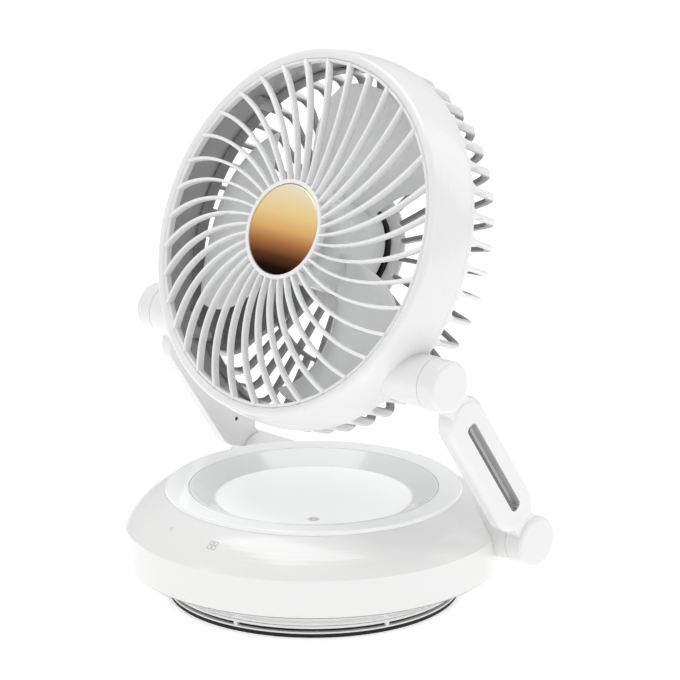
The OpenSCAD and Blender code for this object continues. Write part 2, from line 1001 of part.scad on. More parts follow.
// Inner half of an arm: flat plate that closes the cover and holds the pins
module arm_inner(right) {
    color(white)
        in_arm(right)
            translate([0, 0, arm_x])
                difference() {
                    union() {
                        for (y = [0, arm_l])
                            translate([0, y, 0])
                                cylinder(r = barrel_r, h = arm_in_t, $fn = 96);
                        translate([0, 0, arm_in_t])
                            mirror([0, 0, 1])
                                round_bar(bar_end, arm_l - bar_end, bar_hw, arm_in_t, 1);
                        arm_necks(arm_in_t);
                    }
                    for (y = [0, arm_l])
                        translate([0, y, -1])
                            cylinder(r = pin_r, h = arm_in_t + 2, $fn = 64);
                    translate([0, slot_low + 1, -1])
                        cylinder(r = drain_r, h = arm_in_t + 2, $fn = 32);
                    translate([0, 0, arm_in_t])
                        peg_holes();
                }
}

// Pegs that are pressed into both halves of an arm
module arm_pegs() {
    color(steel)
        for (right = [true, false])
            in_arm(right)
                peg_places()
                    translate([0, 0, arm_x + arm_in_t - peg_in])
                        cylinder(r = peg_r, h = 2 * peg_in, $fn = 32);
}

// ---------- upper hinge ----------

pocket_wall = 1.51;
pocket_x = sqrt(pow(ring_rear_r, 2) - pow(pivot_low, 2)) + pocket_wall;
pocket_r = 8;
upper_seat_x = pocket_x - side_gap;

module upper_pin(right) {
    color(steel)
        side(right)
            at_upper_axis()
                hinge_pin(upper_seat_x - spring_t - nut_t - pin_tip_l);
}

module upper_nuts() {
    color(steel)
        both_sides()
            at_upper_axis()
                hinge_nut(upper_seat_x - spring_t);
}

module upper_springs() {
    color(grey)
        both_sides()
            at_upper_axis()
                hinge_spring(upper_seat_x);
}

module upper_washer(right) {
    color(dark)
        side(right)
            at_upper_axis()
                hinge_washer();
}

// ---------- fan head ----------

grille_rim_t = 1.7;
grille_rim_r = duct_r - 0.7;
grille_rim_z = -0.2;
grille_rim_h = 4;
lug_r = 3.2;
lug_bite = 0.6;
lug_at = duct_r - lug_r + lug_bite;
lug_l = 9;
lug_step = 1.8;
head_screw_r = 1.4;
head_screw_head_r = 2.6;
head_screw_l = 11;
lug_angles = [45, 135, 225, 315];
spigot_t = 1.2;
spigot_r = duct_r - 0.3;
cage_rim_t = 2.7;
spigot_l = 2;

// Ring with its two hinge barrels, moulded in one
lip_r = grille_rim_r + fit;

module lug_places(z) {
    for (a = lug_angles)
        rotate(a)
            translate([lug_at, 0, z])
                children();
}

module head_ring() {
    color(white)
        in_head()
            difference() {
                union() {
                    turned(concat(
                        [[duct_r, -ring_depth]],
                        arc_points([ring_rear_r, -ring_depth], [ring_front_r, -2.4], 0.6, 6),
                        arc_points([ring_front_r, -2.4], [lip_r, -1.4], 1.9, 8),
                        [[lip_r, grille_rim_z - grille_rim_h], [duct_r, grille_rim_z - grille_rim_h]]
                    ), 180);
                    lug_places(-ring_depth + 0.3)
                        cylinder(r = lug_r, h = lug_l, $fn = 32);
                    difference() {
                        at_head_pivot()
                            both_sides()
                                x_rod(barrel_r, pocket_x - barrel_len, barrel_end_x, 96);
                        translate([0, 0, -head_depth])
                            cylinder(r = duct_r + 1, h = head_depth - 6, $fn = 180);
                    }
                }
                lug_places(-ring_depth - 1)
                    cylinder(r = head_screw_r, h = lug_l, $fn = 32);
                at_head_pivot()
                    both_sides() {
                        barrel_core(pocket_x);
                        x_rod(pocket_r, pocket_x - barrel_len - 6, pocket_x);
                    }
            }
}

// Front grille: curved spokes that rise in a dome between the outer rim and the hub rim
dome_at = 44;
dome_k = 270;
function dome_z(r) = dome_h - (r - dome_at) * (r - dome_at) / dome_k;

// Plan of a spoke: an arc from [r0, 0] that starts at spoke_lead and ends after spoke_sweep
spoke_r0 = hub_rim_r - 0.6;
spoke_r1 = grille_rim_r - 0.5;
function spoke_radius(q) =
    let (n = [-sin(spoke_lead), cos(spoke_lead)])
    (q * q) / (2 * (q * n));
function spoke_plan(k) =
    let (
        q = spoke_r1 * [cos(spoke_sweep), sin(spoke_sweep)] - [spoke_r0, 0],
        big = spoke_radius(q),
        c = [spoke_r0, 0] + big * [-sin(spoke_lead), cos(spoke_lead)],
        a = spoke_lead - 90,
        e = q + [spoke_r0, 0] - c,
        b = atan2(e.y, e.x)
    )
    c + big * [cos(a + (b - a) * k), sin(a + (b - a) * k)];

// Faces of a closed sweep through n rings of four points, clockwise as seen from the start
function strip_faces(n) = concat(
    [[0, 1, 2], [0, 2, 3]],
    [for (i = [0:n - 2]) for (j = [0:3])
        let (a = 4 * i + j, b = 4 * i + (j + 1) % 4)
        each [[a, a + 4, b + 4], [a, b + 4, b]]],
    [[4 * n - 1, 4 * n - 2, 4 * n - 3], [4 * n - 1, 4 * n - 3, 4 * n - 4]]
);

// Four corners of a blade's section around plan point p, across direction n
function blade_ring(p, n, w, z1, z0) = [
    [p.x + n.x * w / 2, p.y + n.y * w / 2, z1],
    [p.x - n.x * w / 2, p.y - n.y * w / 2, z1],
    [p.x - n.x * w / 2, p.y - n.y * w / 2, z0],
    [p.x + n.x * w / 2, p.y + n.y * w / 2, z0]
];

function spoke_width(k) = spoke_hub_w + (spoke_w - spoke_hub_w) * k;

spoke_steps = 12;

module spoke() {
    rings = [
        for (i = [0:spoke_steps])
            let (
                k = i / spoke_steps,
                p = spoke_plan(k),
                d = spoke_plan(k + 0.01) - spoke_plan(k - 0.01),
                n = [-d.y, d.x] / norm(d),
                z = dome_z(norm(p))
            )
            each blade_ring(p, n, spoke_width(k), z, z - spoke_depth)
    ];
    polyhedron(points = rings, faces = strip_faces(spoke_steps + 1), convexity = 4);
}

hub_rim_z = dome_z(hub_rim_r);
hub_plate_t = 1.6;
badge_r = hub_rim_r - hub_rim_w - 0.4;

module front_grille() {
    color(white)
        in_head() {
            ring(grille_rim_r, grille_rim_r - grille_rim_t,
                grille_rim_z - grille_rim_h, grille_rim_z);
            turned([
                [0, hub_rim_z - spoke_depth],
                [hub_rim_r, hub_rim_z - spoke_depth],
                [hub_rim_r, hub_rim_z - 0.3],
                [hub_rim_r - 0.5, hub_rim_z + 0.2],
                [hub_rim_r - hub_rim_w + 0.4, hub_rim_z + 0.2],
                [hub_rim_r - hub_rim_w, hub_rim_z - 0.2],
                [hub_rim_r - hub_rim_w, hub_rim_z - spoke_depth + hub_plate_t],
                [0, hub_rim_z - spoke_depth + hub_plate_t]
            ]);
            for (i = [0:spoke_count - 1])
                rotate(spoke_turn - spoke_sweep + i * 360 / spoke_count)
                    spoke();
        }
}

// Polished metal disc in the middle of the front grille
module hub_badge() {
    z = hub_rim_z - spoke_depth + hub_plate_t;
    color(gold)
        in_head()
            turned([
                [0, z],
                [badge_r, z],
                [badge_r, z + badge_t - 0.4],
                [badge_r - 0.5, z + badge_t],
                [0, z + badge_t]
            ]);
}

// Rear grille: rim, ribs that run back, turn the corner and run inwards, motor mount
cage_r0 = ring_rear_r - 0.5;
cage_r1 = ring_rear_r - 1.2;
cage_side = ring_depth + cage_rim_t - 1;
rib_in_r = mount_r - 1;
rib_first = 120;
tie_w = 1.8;
inset = 0.5;

// Outer line of a rib: down the side, round the corner, then inwards; [radius, depth, normal]
function rib_line(end_r) = concat(
    [for (k = [0, 0.5]) [
        cage_r0 + (cage_r1 - cage_r0) * k,
        cage_side + (head_depth - cage_corner - cage_side) * k,
        0
    ]],
    [for (a = [0:22.5:90]) [
        cage_r1 - cage_corner + cage_corner * cos(a),
        head_depth - cage_corner + cage_corner * sin(a),
        a
    ]],
    [for (k = [0.2:0.2:1]) [
        (cage_r1 - cage_corner) * (1 - k) + end_r * k,
        head_depth,
        90
    ]]
);

function rib_lag(r) = -rib_sweep * (r - rib_in_r) / (cage_r1 - rib_in_r);

// Section of a rib at one point of its line
function rib_ring(p) =
    let (
        q = [p.x - rib_depth * cos(p.z), p.y - rib_depth * sin(p.z)],
        a = rib_lag(min(p.x, cage_r1)),
        t = [-sin(a), cos(a)] * rib_w / 2,
        o = [cos(a), sin(a)]
    )
    [
        [o.x * p.x + t.x, o.y * p.x + t.y, -p.y],
        [o.x * p.x - t.x, o.y * p.x - t.y, -p.y],
        [o.x * q.x - t.x, o.y * q.x - t.y, -q.y],
        [o.x * q.x + t.x, o.y * q.x + t.y, -q.y]
    ];

module rib(end_r) {
    line = rib_line(end_r);
    polyhedron(
        points = [for (p = line) each rib_ring(p)],
        faces = strip_faces(len(line)),
        convexity = 4
    );
}

// Arc round the cage's corner, a step inside the ribs' outer line; [radius, height]
function corner_arc(step, from, to, by) = [for (a = [from:by:to]) [
    cage_r1 - cage_corner + (cage_corner - step) * cos(a),
    cage_corner - head_depth - (cage_corner - step) * sin(a)
]];

// Closed channel for the wires, from the left hinge across the cage to the mount
module wire_channel() {
    back = rib_depth - inset;
    intersection() {
        turned(concat(
            [[cage_r1 - back, -cage_side], [cage_r1 - inset, -cage_side]],
            corner_arc(inset, 0, 90, 15),
            [[rib_in_r, inset - head_depth], [rib_in_r, back - head_depth]],
            corner_arc(back, 90, 0, -15)
        ), 180);
        rotate(180 + atan2(pivot_low, arm_x - flange_t))
            translate([0, -channel_w / 2, -head_depth])
                cube([ring_rear_r, channel_w, head_depth]);
    }
}

mount_floor = 3;
motor_seat_z = -head_depth + mount_floor;
motor_screw_r = 1.1;
motor_screw_in = 3.6;
screw_cap_h = 0.9;

module mount_screw_places() {
    for (s = [-1, 1])
        translate([s * motor_r * 0.6, 0, 0])
            children();
}

module rear_grille() {
    rim_z0 = -ring_depth - cage_rim_t;
    color(white)
        in_head()
            difference() {
                union() {
                    turned([
                        [spigot_r - spigot_t, rim_z0 - 2],
                        [spigot_r - spigot_t, -ring_depth + spigot_l],
                        [spigot_r, -ring_depth + spigot_l],
                        [spigot_r, -ring_depth - fit],
                        [ring_rear_r, -ring_depth - fit],
                        [ring_rear_r - 0.2, rim_z0],
                        [spigot_r + 1.8, rim_z0],
                        [spigot_r + 1.8, rim_z0 - 2]
                    ], 180);
                    lug_places(rim_z0 - lug_step)
                        cylinder(r = lug_r, h = cage_rim_t + lug_step - 0.2, $fn = 32);
                    for (i = [0:rib_count - 1])
                        rotate(rib_first + rib_turn + i * 360 / rib_count)
                            rib(i % 2 == 0 ? rib_in_r : tie_r);
                    turned([
                        [tie_r - tie_w / 2, inset - head_depth],
                        [tie_r + tie_w / 2, inset - head_depth],
                        [tie_r + tie_w / 2, rib_depth - inset - head_depth],
                        [tie_r - tie_w / 2, rib_depth - inset - head_depth]
                    ], 180);
                    wire_channel();
                    translate([0, 0, -head_depth - 0.1])
                        cylinder(r = mount_r, h = mount_floor + 0.1, $fn = 96);
                }
                lug_places(-ring_depth)
                    cylinder(r = lug_r + 0.3, h = spigot_l + 1, $fn = 32);
                lug_places(rim_z0 - lug_step - 3)
                    cylinder(r = head_screw_head_r + 0.3, h = 3, $fn = 32);
                lug_places(rim_z0 - lug_step - 1)
                    cylinder(r = head_screw_r + 0.2, h = lug_l, $fn = 32);
                mount_screw_places()
                    translate([0, 0, -head_depth - 1])
                        cylinder(r = motor_screw_r + 0.2, h = mount_floor + 2, $fn = 32);
                at_head_pivot()
                    both_sides()
                        x_rod(barrel_r + 0.3, pocket_x - barrel_len - 10, arm_x);
            }
}

// Screws that join ring and rear grille, set from behind
module head_screws() {
    color(steel)
        in_head()
            lug_places(-ring_depth - cage_rim_t - lug_step + head_screw_l)
                mirror([0, 0, 1])
                    small_screw(head_screw_r, head_screw_l, head_screw_head_r);
}

// Plugs that close the nut pockets from inside the duct
module pocket_caps() {
    color(white)
        in_head()
            at_head_pivot()
                both_sides()
                    x_rod(pocket_r - fit, pocket_x - 6.2, pocket_x - 5.2);
}

// Motor can with a bearing nose, fixed on the mount's floor
motor_front_z = motor_seat_z + motor_l;
nose_h = 2.6;
nose_r = 4;
shaft_from = 6;

module motor() {
    color(steel)
        in_head()
            difference() {
                union() {
                    translate([0, 0, motor_seat_z])
                        cylinder(r = motor_r, h = motor_l, $fn = 96);
                    translate([0, 0, motor_front_z])
                        cylinder(r = nose_r, h = nose_h, $fn = 64);
                }
                translate([0, 0, motor_seat_z + shaft_from])
                    cylinder(r = shaft_r + run_gap, h = motor_l + nose_h, $fn = 64);
                mount_screw_places()
                    translate([0, 0, motor_seat_z - 1])
                        cylinder(r = motor_screw_r, h = motor_screw_in + 1.4, $fn = 32);
            }
}

// Black rubber ring that seals the gap behind the impeller's hub
module motor_damper() {
    color(dark)
        in_head()
            ring(fan_hub_r + 0.5, motor_r + 0.2, motor_seat_z, motor_seat_z + 2.4);
}

module motor_screws() {
    color(steel)
        in_head()
            mount_screw_places()
                translate([0, 0, motor_seat_z + motor_screw_in])
                    mirror([0, 0, 1])
                        motor_screw();
}

module motor_screw() {
    l = motor_screw_in + mount_floor;
    cylinder(r = motor_screw_r, h = l, $fn = 32);
    translate([0, 0, l - screw_cap_h])
        cylinder(r = motor_screw_r + 0.2 - eps, h = screw_cap_h, $fn = 32);
}

// ---------- impeller ----------

hub_front_z = -9;
hub_bevel = 5;
hub_chamfer = 2;
boss_r = 4.5;
hub_rear_z = motor_seat_z + 2.4 + 0.9;
boss_z = motor_front_z + nose_h + 0.5;
blade_steps = 7;
blade_parts = 10;
blade_root_r = fan_hub_r - 0.8;

// Height of a blade's middle surface: u from root to tip, v from its rear to its front edge
blade_rise_root = 22;
blade_rise_tip = 18;
blade_mid_z = -25.5;
blade_corner = 3;
function blade_z(u, v) =
    blade_mid_z + (blade_rise_root + (blade_rise_tip - blade_rise_root) * u)
        * (v - 0.5 + 0.12 * sin(360 * v));
// The front edge runs ahead at its root, and the rear edge is shorter there
function blade_angle(u, v) =
    v * blade_lead * (1 - pow(u, 3)) - (1 - v) * (blade_span - blade_sweep * (1 - pow(u, 2)));
function blade_point(u, v, z_off) =
    let (
        corner = blade_corner * pow(abs(2 * v - 1), 8) * pow(u, 4),
        r = blade_root_r + (impeller_r - blade_root_r) * u - corner,
        a = blade_angle(u, v)
    )
    [r * cos(a), r * sin(a), blade_z(u, v) + z_off];

module blade() {
    nu = blade_steps + 1;
    nv = blade_parts + 1;
    top = [for (i = [0:nu - 1]) for (j = [0:nv - 1])
        blade_point(i / blade_steps, j / blade_parts, blade_t / 2)];
    low = [for (i = [0:nu - 1]) for (j = [0:nv - 1])
        blade_point(i / blade_steps, j / blade_parts, -blade_t / 2)];
    n = nu * nv;
    cells = [for (i = [0:nu - 2]) for (j = [0:nv - 2]) [i * nv + j, i, j]];
    faces = concat(
        [for (c = cells) each [
            [c[0], c[0] + 1, c[0] + nv + 1],
            [c[0], c[0] + nv + 1, c[0] + nv]
        ]],
        [for (c = cells) each [
            [n + c[0], n + c[0] + nv + 1, n + c[0] + 1],
            [n + c[0], n + c[0] + nv, n + c[0] + nv + 1]
        ]],
        [for (j = [0:nv - 2]) each [
            [j, n + j, n + j + 1],
            [j, n + j + 1, j + 1]
        ]],
        [for (j = [0:nv - 2]) let (a = (nu - 1) * nv + j) each [
            [a, a + 1, n + a + 1],
            [a, n + a + 1, n + a]
        ]],
        [for (i = [0:nu - 2]) let (a = i * nv) each [
            [a, a + nv, n + a + nv],
            [a, n + a + nv, n + a]
        ]],
        [for (i = [0:nu - 2]) let (a = i * nv + nv - 1) each [
            [a, n + a, n + a + nv],
            [a, n + a + nv, a + nv]
        ]]
    );
    polyhedron(points = concat(top, low), faces = faces, convexity = 6);
}

module impeller() {
    color(off_white)
        in_head()
            difference() {
                union() {
                    turned([
                        [0, hub_front_z - fan_hub_t],
                        [fan_hub_r - fan_hub_t, hub_front_z - fan_hub_t - hub_chamfer],
                        [fan_hub_r - fan_hub_t, hub_rear_z],
                        [fan_hub_r, hub_rear_z],
                        [fan_hub_r, hub_front_z - hub_bevel],
                        [fan_hub_r - 0.7 * hub_chamfer, hub_front_z - hub_chamfer],
                        [fan_hub_r - hub_bevel, hub_front_z],
                        [0, hub_front_z]
                    ]);
                    translate([0, 0, boss_z])
                        cylinder(r = boss_r, h = hub_front_z - 1 - boss_z, $fn = 64);
                    for (i = [0:blade_count - 1])
                        rotate(blade_turn + i * 360 / blade_count)
                            blade();
                }
                translate([0, 0, boss_z - 1])
                    cylinder(r = shaft_r, h = motor_l, $fn = 64);
            }
}

shaft_front_z = hub_front_z + 3;

module motor_shaft() {
    z0 = motor_seat_z + shaft_from + 1;
    color(steel)
        in_head()
            translate([0, 0, z0])
                cylinder(r = shaft_r, h = shaft_front_z - z0, $fn = 64);
}

module shaft_clip() {
    color(dark)
        in_head()
            ring(shaft_r + 2.4, shaft_r, hub_front_z, hub_front_z + 1.2, 64);
}

// ---------- nodes ----------

foot_ring();
lower_shell();
vent_liner();
upper_shell();
rim_ring();
tray();
tray_sensor();
lamp_reflector();
lamp_board();
lamp_leds();
battery_holder();
battery_cells();
control_board();
control_parts();
usb_socket();
board_screws();
touch_board();
touch_pads();
lamp_key();
fan_key();
base_barrel(true);  // base_barrel_right
base_barrel(false);  // base_barrel_left
lower_washer(true);  // lower_washer_right
lower_washer(false);  // lower_washer_left
base_screws();
arm_cover(true);  // arm_cover_right
arm_cover(false);  // arm_cover_left
arm_inner(true);  // arm_inner_right
arm_inner(false);  // arm_inner_left
lower_pin(true);  // lower_pin_right
lower_pin(false);  // lower_pin_left
lower_nuts();
lower_springs();
arm_pegs();
upper_pin(true);  // upper_pin_right
upper_pin(false);  // upper_pin_left
upper_nuts();
upper_springs();
head_ring();
front_grille();
hub_badge();
rear_grille();
motor();
motor_damper();
motor_screws();
head_screws();
upper_washer(true);  // upper_washer_right
upper_washer(false);  // upper_washer_left
pocket_caps();
impeller();
motor_shaft();
shaft_clip();
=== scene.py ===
import json
from math import cos, pi, radians, sin

import bmesh
import bpy
import numpy as np
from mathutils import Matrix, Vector


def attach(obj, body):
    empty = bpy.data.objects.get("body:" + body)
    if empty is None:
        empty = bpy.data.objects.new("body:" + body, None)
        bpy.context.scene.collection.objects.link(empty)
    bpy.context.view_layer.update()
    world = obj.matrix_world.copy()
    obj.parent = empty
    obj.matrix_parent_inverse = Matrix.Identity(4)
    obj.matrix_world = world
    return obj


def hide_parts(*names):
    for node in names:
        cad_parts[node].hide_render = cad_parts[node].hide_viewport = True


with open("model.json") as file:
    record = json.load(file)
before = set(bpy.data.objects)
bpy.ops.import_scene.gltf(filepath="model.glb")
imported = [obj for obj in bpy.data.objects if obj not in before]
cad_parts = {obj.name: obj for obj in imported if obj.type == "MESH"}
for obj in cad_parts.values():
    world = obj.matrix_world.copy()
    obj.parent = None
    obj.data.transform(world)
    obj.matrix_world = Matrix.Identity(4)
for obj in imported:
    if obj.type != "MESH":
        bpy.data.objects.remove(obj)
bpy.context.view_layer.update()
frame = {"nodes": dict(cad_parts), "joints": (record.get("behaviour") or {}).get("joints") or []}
nodes = frame["nodes"]
joints = {joint["name"]: joint for joint in frame["joints"]}
mm = 0.001

# The camera stands a little above the fan's middle, to the right of its front, with a long lens.
# Four soft boxes and a bright room light the fan as in a small product studio.
view_azimuth = radians(46.1)
view_elevation = radians(16.51)
view_distance = 1.604
view_centre = Vector((0, 0, 0.1))
view_aim = Vector((0.0034, 0.0151, 0.1270))
view_lens = 170.7

camera = bpy.data.objects.new("camera", bpy.data.cameras.new("camera"))
camera.data.lens = view_lens
camera.location = view_centre + view_distance * Vector((
    sin(view_azimuth) * cos(view_elevation),
    -cos(view_azimuth) * cos(view_elevation),
    sin(view_elevation),
))
camera.rotation_euler = (view_aim - camera.location).to_track_quat("-Z", "Y").to_euler()
bpy.context.scene.collection.objects.link(camera)
bpy.context.scene.camera = camera
bpy.context.scene.view_settings.view_transform = "Standard"


def soft_box(name, place, size, power):
    """A square area light at place, turned so that it faces the fan's middle."""
    light = bpy.data.lights.new(name, "AREA")
    light.size = size
    light.energy = power
    box = bpy.data.objects.new(name, light)
    box.location = place
    box.rotation_euler = (view_centre - box.location).to_track_quat("-Z", "Y").to_euler()
    bpy.context.scene.collection.objects.link(box)


soft_box("front_box", place=(-0.9, -1.9, 1.2), size=1.0, power=2.5)
soft_box("side_box", place=(2.0, 0.1, 0.9), size=0.9, power=2.5)
soft_box("top_box", place=(-0.2, 0.1, 2.0), size=1.6, power=17)
soft_box("rear_box", place=(0.9, 1.8, 1.2), size=1.2, power=4)

room_light = 0.6
world = bpy.data.worlds.new("studio")
world.use_nodes = True
background = world.node_tree.nodes["Background"]
background.inputs["Color"].default_value = (1, 1, 1, 1)
background.inputs["Strength"].default_value = room_light
bpy.context.scene.world = world


# The floor is a wide sheet of white card that glows a little, as card does under a studio's lights,
# so that only a faint shadow shows under the fan.
class Value:
    """A number or colour that changes over a surface: it wraps a socket, and its operators add nodes."""

    def __init__(self, finish, socket):
        self.finish = finish
        self.socket = socket

    def math(self, operation, *others):
        """A Math node that works on this value, and on others if the operation takes more."""
        values = dict(enumerate((self, *others)))
        return self.finish.node("ShaderNodeMath", {"operation": operation}, values)

    def __add__(self, other):
        return self.math("ADD", other)

    def __radd__(self, other):
        return self.math("ADD", other)

    def __mul__(self, other):
        return self.math("MULTIPLY", other)

    def __rmul__(self, other):
        return self.math("MULTIPLY", other)

    def __sub__(self, other):
        return self.math("SUBTRACT", other)

    def __rsub__(self, other):
        return self.finish.node("ShaderNodeMath", {"operation": "SUBTRACT"}, {0: other, 1: self})


class Finish:
    """A material of the fan: a colour and a gloss, and the nodes that vary them."""

    def __init__(self, name, colour, rough, **uniform):
        self.material = bpy.data.materials.new(name)
        self.material.use_nodes = True
        self.tree = self.material.node_tree
        self.shader = self.tree.nodes["Principled BSDF"]
        self.colour = colour
        self.rough = rough
        self.set("Base Color", (*colour, 1))
        self.set("Roughness", rough)
        for socket, value in uniform.items():
            self.set(socket.replace("_", " ").title().replace("Ior", "IOR"), value)

    def join(self, socket, value):
        """Puts a number, a colour or another node's value on a socket."""
        if isinstance(value, Value):
            self.tree.links.new(socket, value.socket)
        else:
            socket.default_value = value

    def set(self, socket, value):
        """Puts a value on one of the shader's sockets."""
        self.join(self.shader.inputs[socket], value)

    def node(self, kind, settings=None, values=None, out=0):
        """A node of a kind, with its settings made first and then the values or links of its sockets."""
        node = self.tree.nodes.new(kind)
        for key, value in (settings or {}).items():
            if key == "stops":
                ramp = node.color_ramp
                for _ in range(len(value) - 2):
                    ramp.elements.new(0.5)
                for element, (position, colour) in zip(ramp.elements, value):
                    element.position = position
                    element.color = (*colour, 1)
            else:
                setattr(node, key, value)
        for key, value in (values or {}).items():
            self.join(node.inputs[key], value)
        return Value(self, node.outputs[out])

    def place(self):
        """Where on the object a point lies, in metres."""
        return self.node("ShaderNodeTexCoord", out="Object")

    def axis(self, name):
        """One coordinate of that place."""
        return self.node("ShaderNodeSeparateXYZ", None, {0: self.place()}, out=name)

    def vector(self, operation, first, second=(0, 0, 0), out=0):
        """A Vector Math node."""
        return self.node("ShaderNodeVectorMath", {"operation": operation}, {0: first, 1: second}, out)

    def along(self, point, direction):
        """How far the surface lies from a point of the object in a direction, in metres."""
        offset = self.vector("SUBTRACT", self.place(), tuple(point))
        return self.vector("DOT_PRODUCT", offset, tuple(direction), "Value")

    def around(self, point, direction):
        """How far the surface lies from the line through a point in a direction, in metres."""
        offset = self.vector("SUBTRACT", self.place(), tuple(point))
        return self.vector("LENGTH", self.vector("CROSS_PRODUCT", offset, tuple(direction)), out="Value")

    def step(self, value, low, high):
        """0 where a value is at low, 1 where it is at high, even in between and no more beyond."""
        return self.node("ShaderNodeMapRange", None, {0: value, 1: low, 2: high})

    def noise(self, scale, detail=2.0):
        """Cloudy values from 0 to 1, with as many clouds to a metre as scale says."""
        values = {"Vector": self.place(), "Scale": scale, "Detail": detail}
        return self.node("ShaderNodeTexNoise", None, values)

    def mix(self, share, low, high):
        """A colour between two others: low where the share is 0, high where it is 1."""
        settings = {"data_type": "RGBA"}
        values = {0: share, 6: (*low, 1) if isinstance(low, tuple) else low,
                  7: (*high, 1) if isinstance(high, tuple) else high}
        return self.node("ShaderNodeMix", settings, values, out=2)

    def bump(self, height, strength, depth=0.0001):
        """Small relief, which only tilts the surface's normal."""
        values = {"Height": height, "Strength": strength, "Distance": depth}
        self.set("Normal", self.node("ShaderNodeBump", None, values))

    def moulded(self, grain=1800, relief=0.05, cloud=0.025, rub=0.05):
        """Moulded plastic: faint clouds of colour, worn gloss in patches and a very fine grain."""
        clouds = self.noise(28, 3.0)
        darker = tuple(channel * (1 - cloud) for channel in self.colour)
        self.set("Base Color", self.mix(clouds, darker, self.colour))
        self.set("Roughness", self.noise(55, 3.0) * (2 * rub) + (self.rough - rub))
        self.bump(self.noise(grain, 2.0), relief)
        return self

    def shaded(self, share, dark):
        """Takes the colour towards a darker one by a share."""
        colour = Value(self, self.shader.inputs["Base Color"].links[0].from_socket)
        self.set("Base Color", self.mix(share, colour, dark))

    def dress(self, *names):
        """Gives the finish to solids of the frame that keep their shape."""
        for name in names:
            nodes[name].data.materials.clear()
            nodes[name].data.materials.append(self.material)


floor_half = 6
floor_card = Finish(
    "floor_card", (0.9, 0.9, 0.9), 0.9, emission_color=(1, 1, 1, 1), emission_strength=0.4)
floor_mesh = bpy.data.meshes.new("floor")
floor_mesh.from_pydata(
    [(-floor_half, -floor_half, 0), (floor_half, -floor_half, 0),
     (floor_half, floor_half, 0), (-floor_half, floor_half, 0)],
    [], [(0, 1, 2, 3)])
floor = bpy.data.objects.new("floor", floor_mesh)
floor_mesh.materials.append(floor_card.material)
bpy.context.scene.collection.objects.link(floor)

# The foot is a ring of black rubber, glued into a groove under the lower shell.
# Behind the shell's air slots lies a black mesh ring, which keeps dust out.
foot_rubber = Finish("foot_rubber", (0.006, 0.006, 0.006), 0.7)
foot_rubber.moulded(grain=2600, relief=0.3, cloud=0.3, rub=0.08)
foot_rubber.dress("foot_ring")

slot_mesh = Finish("slot_mesh", (0.03, 0.03, 0.03), 0.5)
mesh_pitch = 1.3 * mm
mesh_wave = slot_mesh.axis("Z").math("MULTIPLY", 2 * pi / mesh_pitch).math("SINE")
mesh_rows = mesh_wave * 0.5 + 0.5
slot_mesh.set("Base Color", slot_mesh.mix(mesh_rows, (0.001, 0.001, 0.001), (0.012, 0.012, 0.012)))
slot_mesh.set("Roughness", 0.8 - mesh_rows * 0.15)
slot_mesh.bump(mesh_rows, 0.6, 0.0003)
slot_mesh.dress("vent_liner")

# The two shells of the base are injected in glossy white ABS and meet in a narrow groove.
# The lower shell has the slotted foot wall, the upper one the wall, the shoulder and the seats.
shell_white = Finish("shell_white", (0.87, 0.87, 0.865), 0.2, coat_weight=0.35, coat_roughness=0.04)
shell_white.moulded(grain=900, relief=0.035)
shell_white.dress("lower_shell", "upper_shell")

# The rim ring around the tray is turned from clear acrylic, its edges are polished, and it is bonded
# onto the shoulder, so that the white shell shows through it. A faint, even painted glow brightens it.
rim_acrylic = Finish(
    "rim_acrylic", (0.94, 0.945, 0.95), 0.08,
    transmission_weight=0.05, ior=1.47, coat_weight=0.5, coat_roughness=0.02,
    emission_color=(1, 1, 1, 1), emission_strength=0.1)
rim_acrylic.moulded(grain=700, relief=0.02, cloud=0.03, rub=0.03)
rim_acrylic.dress("rim_ring")

# The tray is milky polycarbonate, so that the lamp shines through its floor, and it is polished.
# A small round window for the light sensor is let into the floor, and a cup under it throws light up.
# The floor is given a faint painted glow that brightens it.
tray_milk = Finish("tray_milk", (0.9, 0.905, 0.91), 0.12, coat_weight=0.4, coat_roughness=0.03)
tray_milk.moulded(grain=700, relief=0.02, cloud=0.03, rub=0.03)
tray_floor_radius = 50 * mm
tray_floor_edge = 1.5 * mm
floor_painted_glow = (0.26, 0.26, 0.26)
# Painted glow: the tray's floor, inside its edge, glows a faint grey.
floor_glow_share = tray_milk.step(
    tray_milk.around((0, 0, 0), (0, 0, 1)), tray_floor_radius, tray_floor_radius - tray_floor_edge)
tray_milk.set("Emission Color", tray_milk.mix(floor_glow_share, (0, 0, 0), floor_painted_glow))
tray_milk.set("Emission Strength", 1.0)
tray_milk.dress("tray")

sensor_at = 36 * mm
sensor_azimuth = radians(46)
sensor_middle = (sensor_at * sin(sensor_azimuth), -sensor_at * cos(sensor_azimuth), 0)
sensor_radius = 3 * mm
sensor_window = Finish("sensor_window", (0.5, 0.5, 0.51), 0.2)
sensor_way = sensor_window.around(sensor_middle, (0, 0, 1)) * (1 / sensor_radius)
sensor_stops = [
    (0.0, (0.95, 0.95, 0.95)), (0.32, (0.95, 0.95, 0.95)), (0.42, (0.62, 0.62, 0.63)),
    (0.62, (0.66, 0.66, 0.67)), (0.72, (0.85, 0.85, 0.86)), (1.0, (0.9, 0.9, 0.91)),
]
sensor_rings = sensor_window.node("ShaderNodeValToRGB", {"stops": sensor_stops}, {0: sensor_way})
sensor_window.set("Base Color", sensor_rings)
sensor_window.set("Roughness", sensor_window.noise(300) * 0.1 + 0.15)
sensor_window.dress("tray_sensor")

reflector_white = Finish("reflector_white", (0.9, 0.9, 0.9), 0.35)
reflector_white.moulded(grain=1200, relief=0.08)
reflector_white.dress("lamp_reflector")

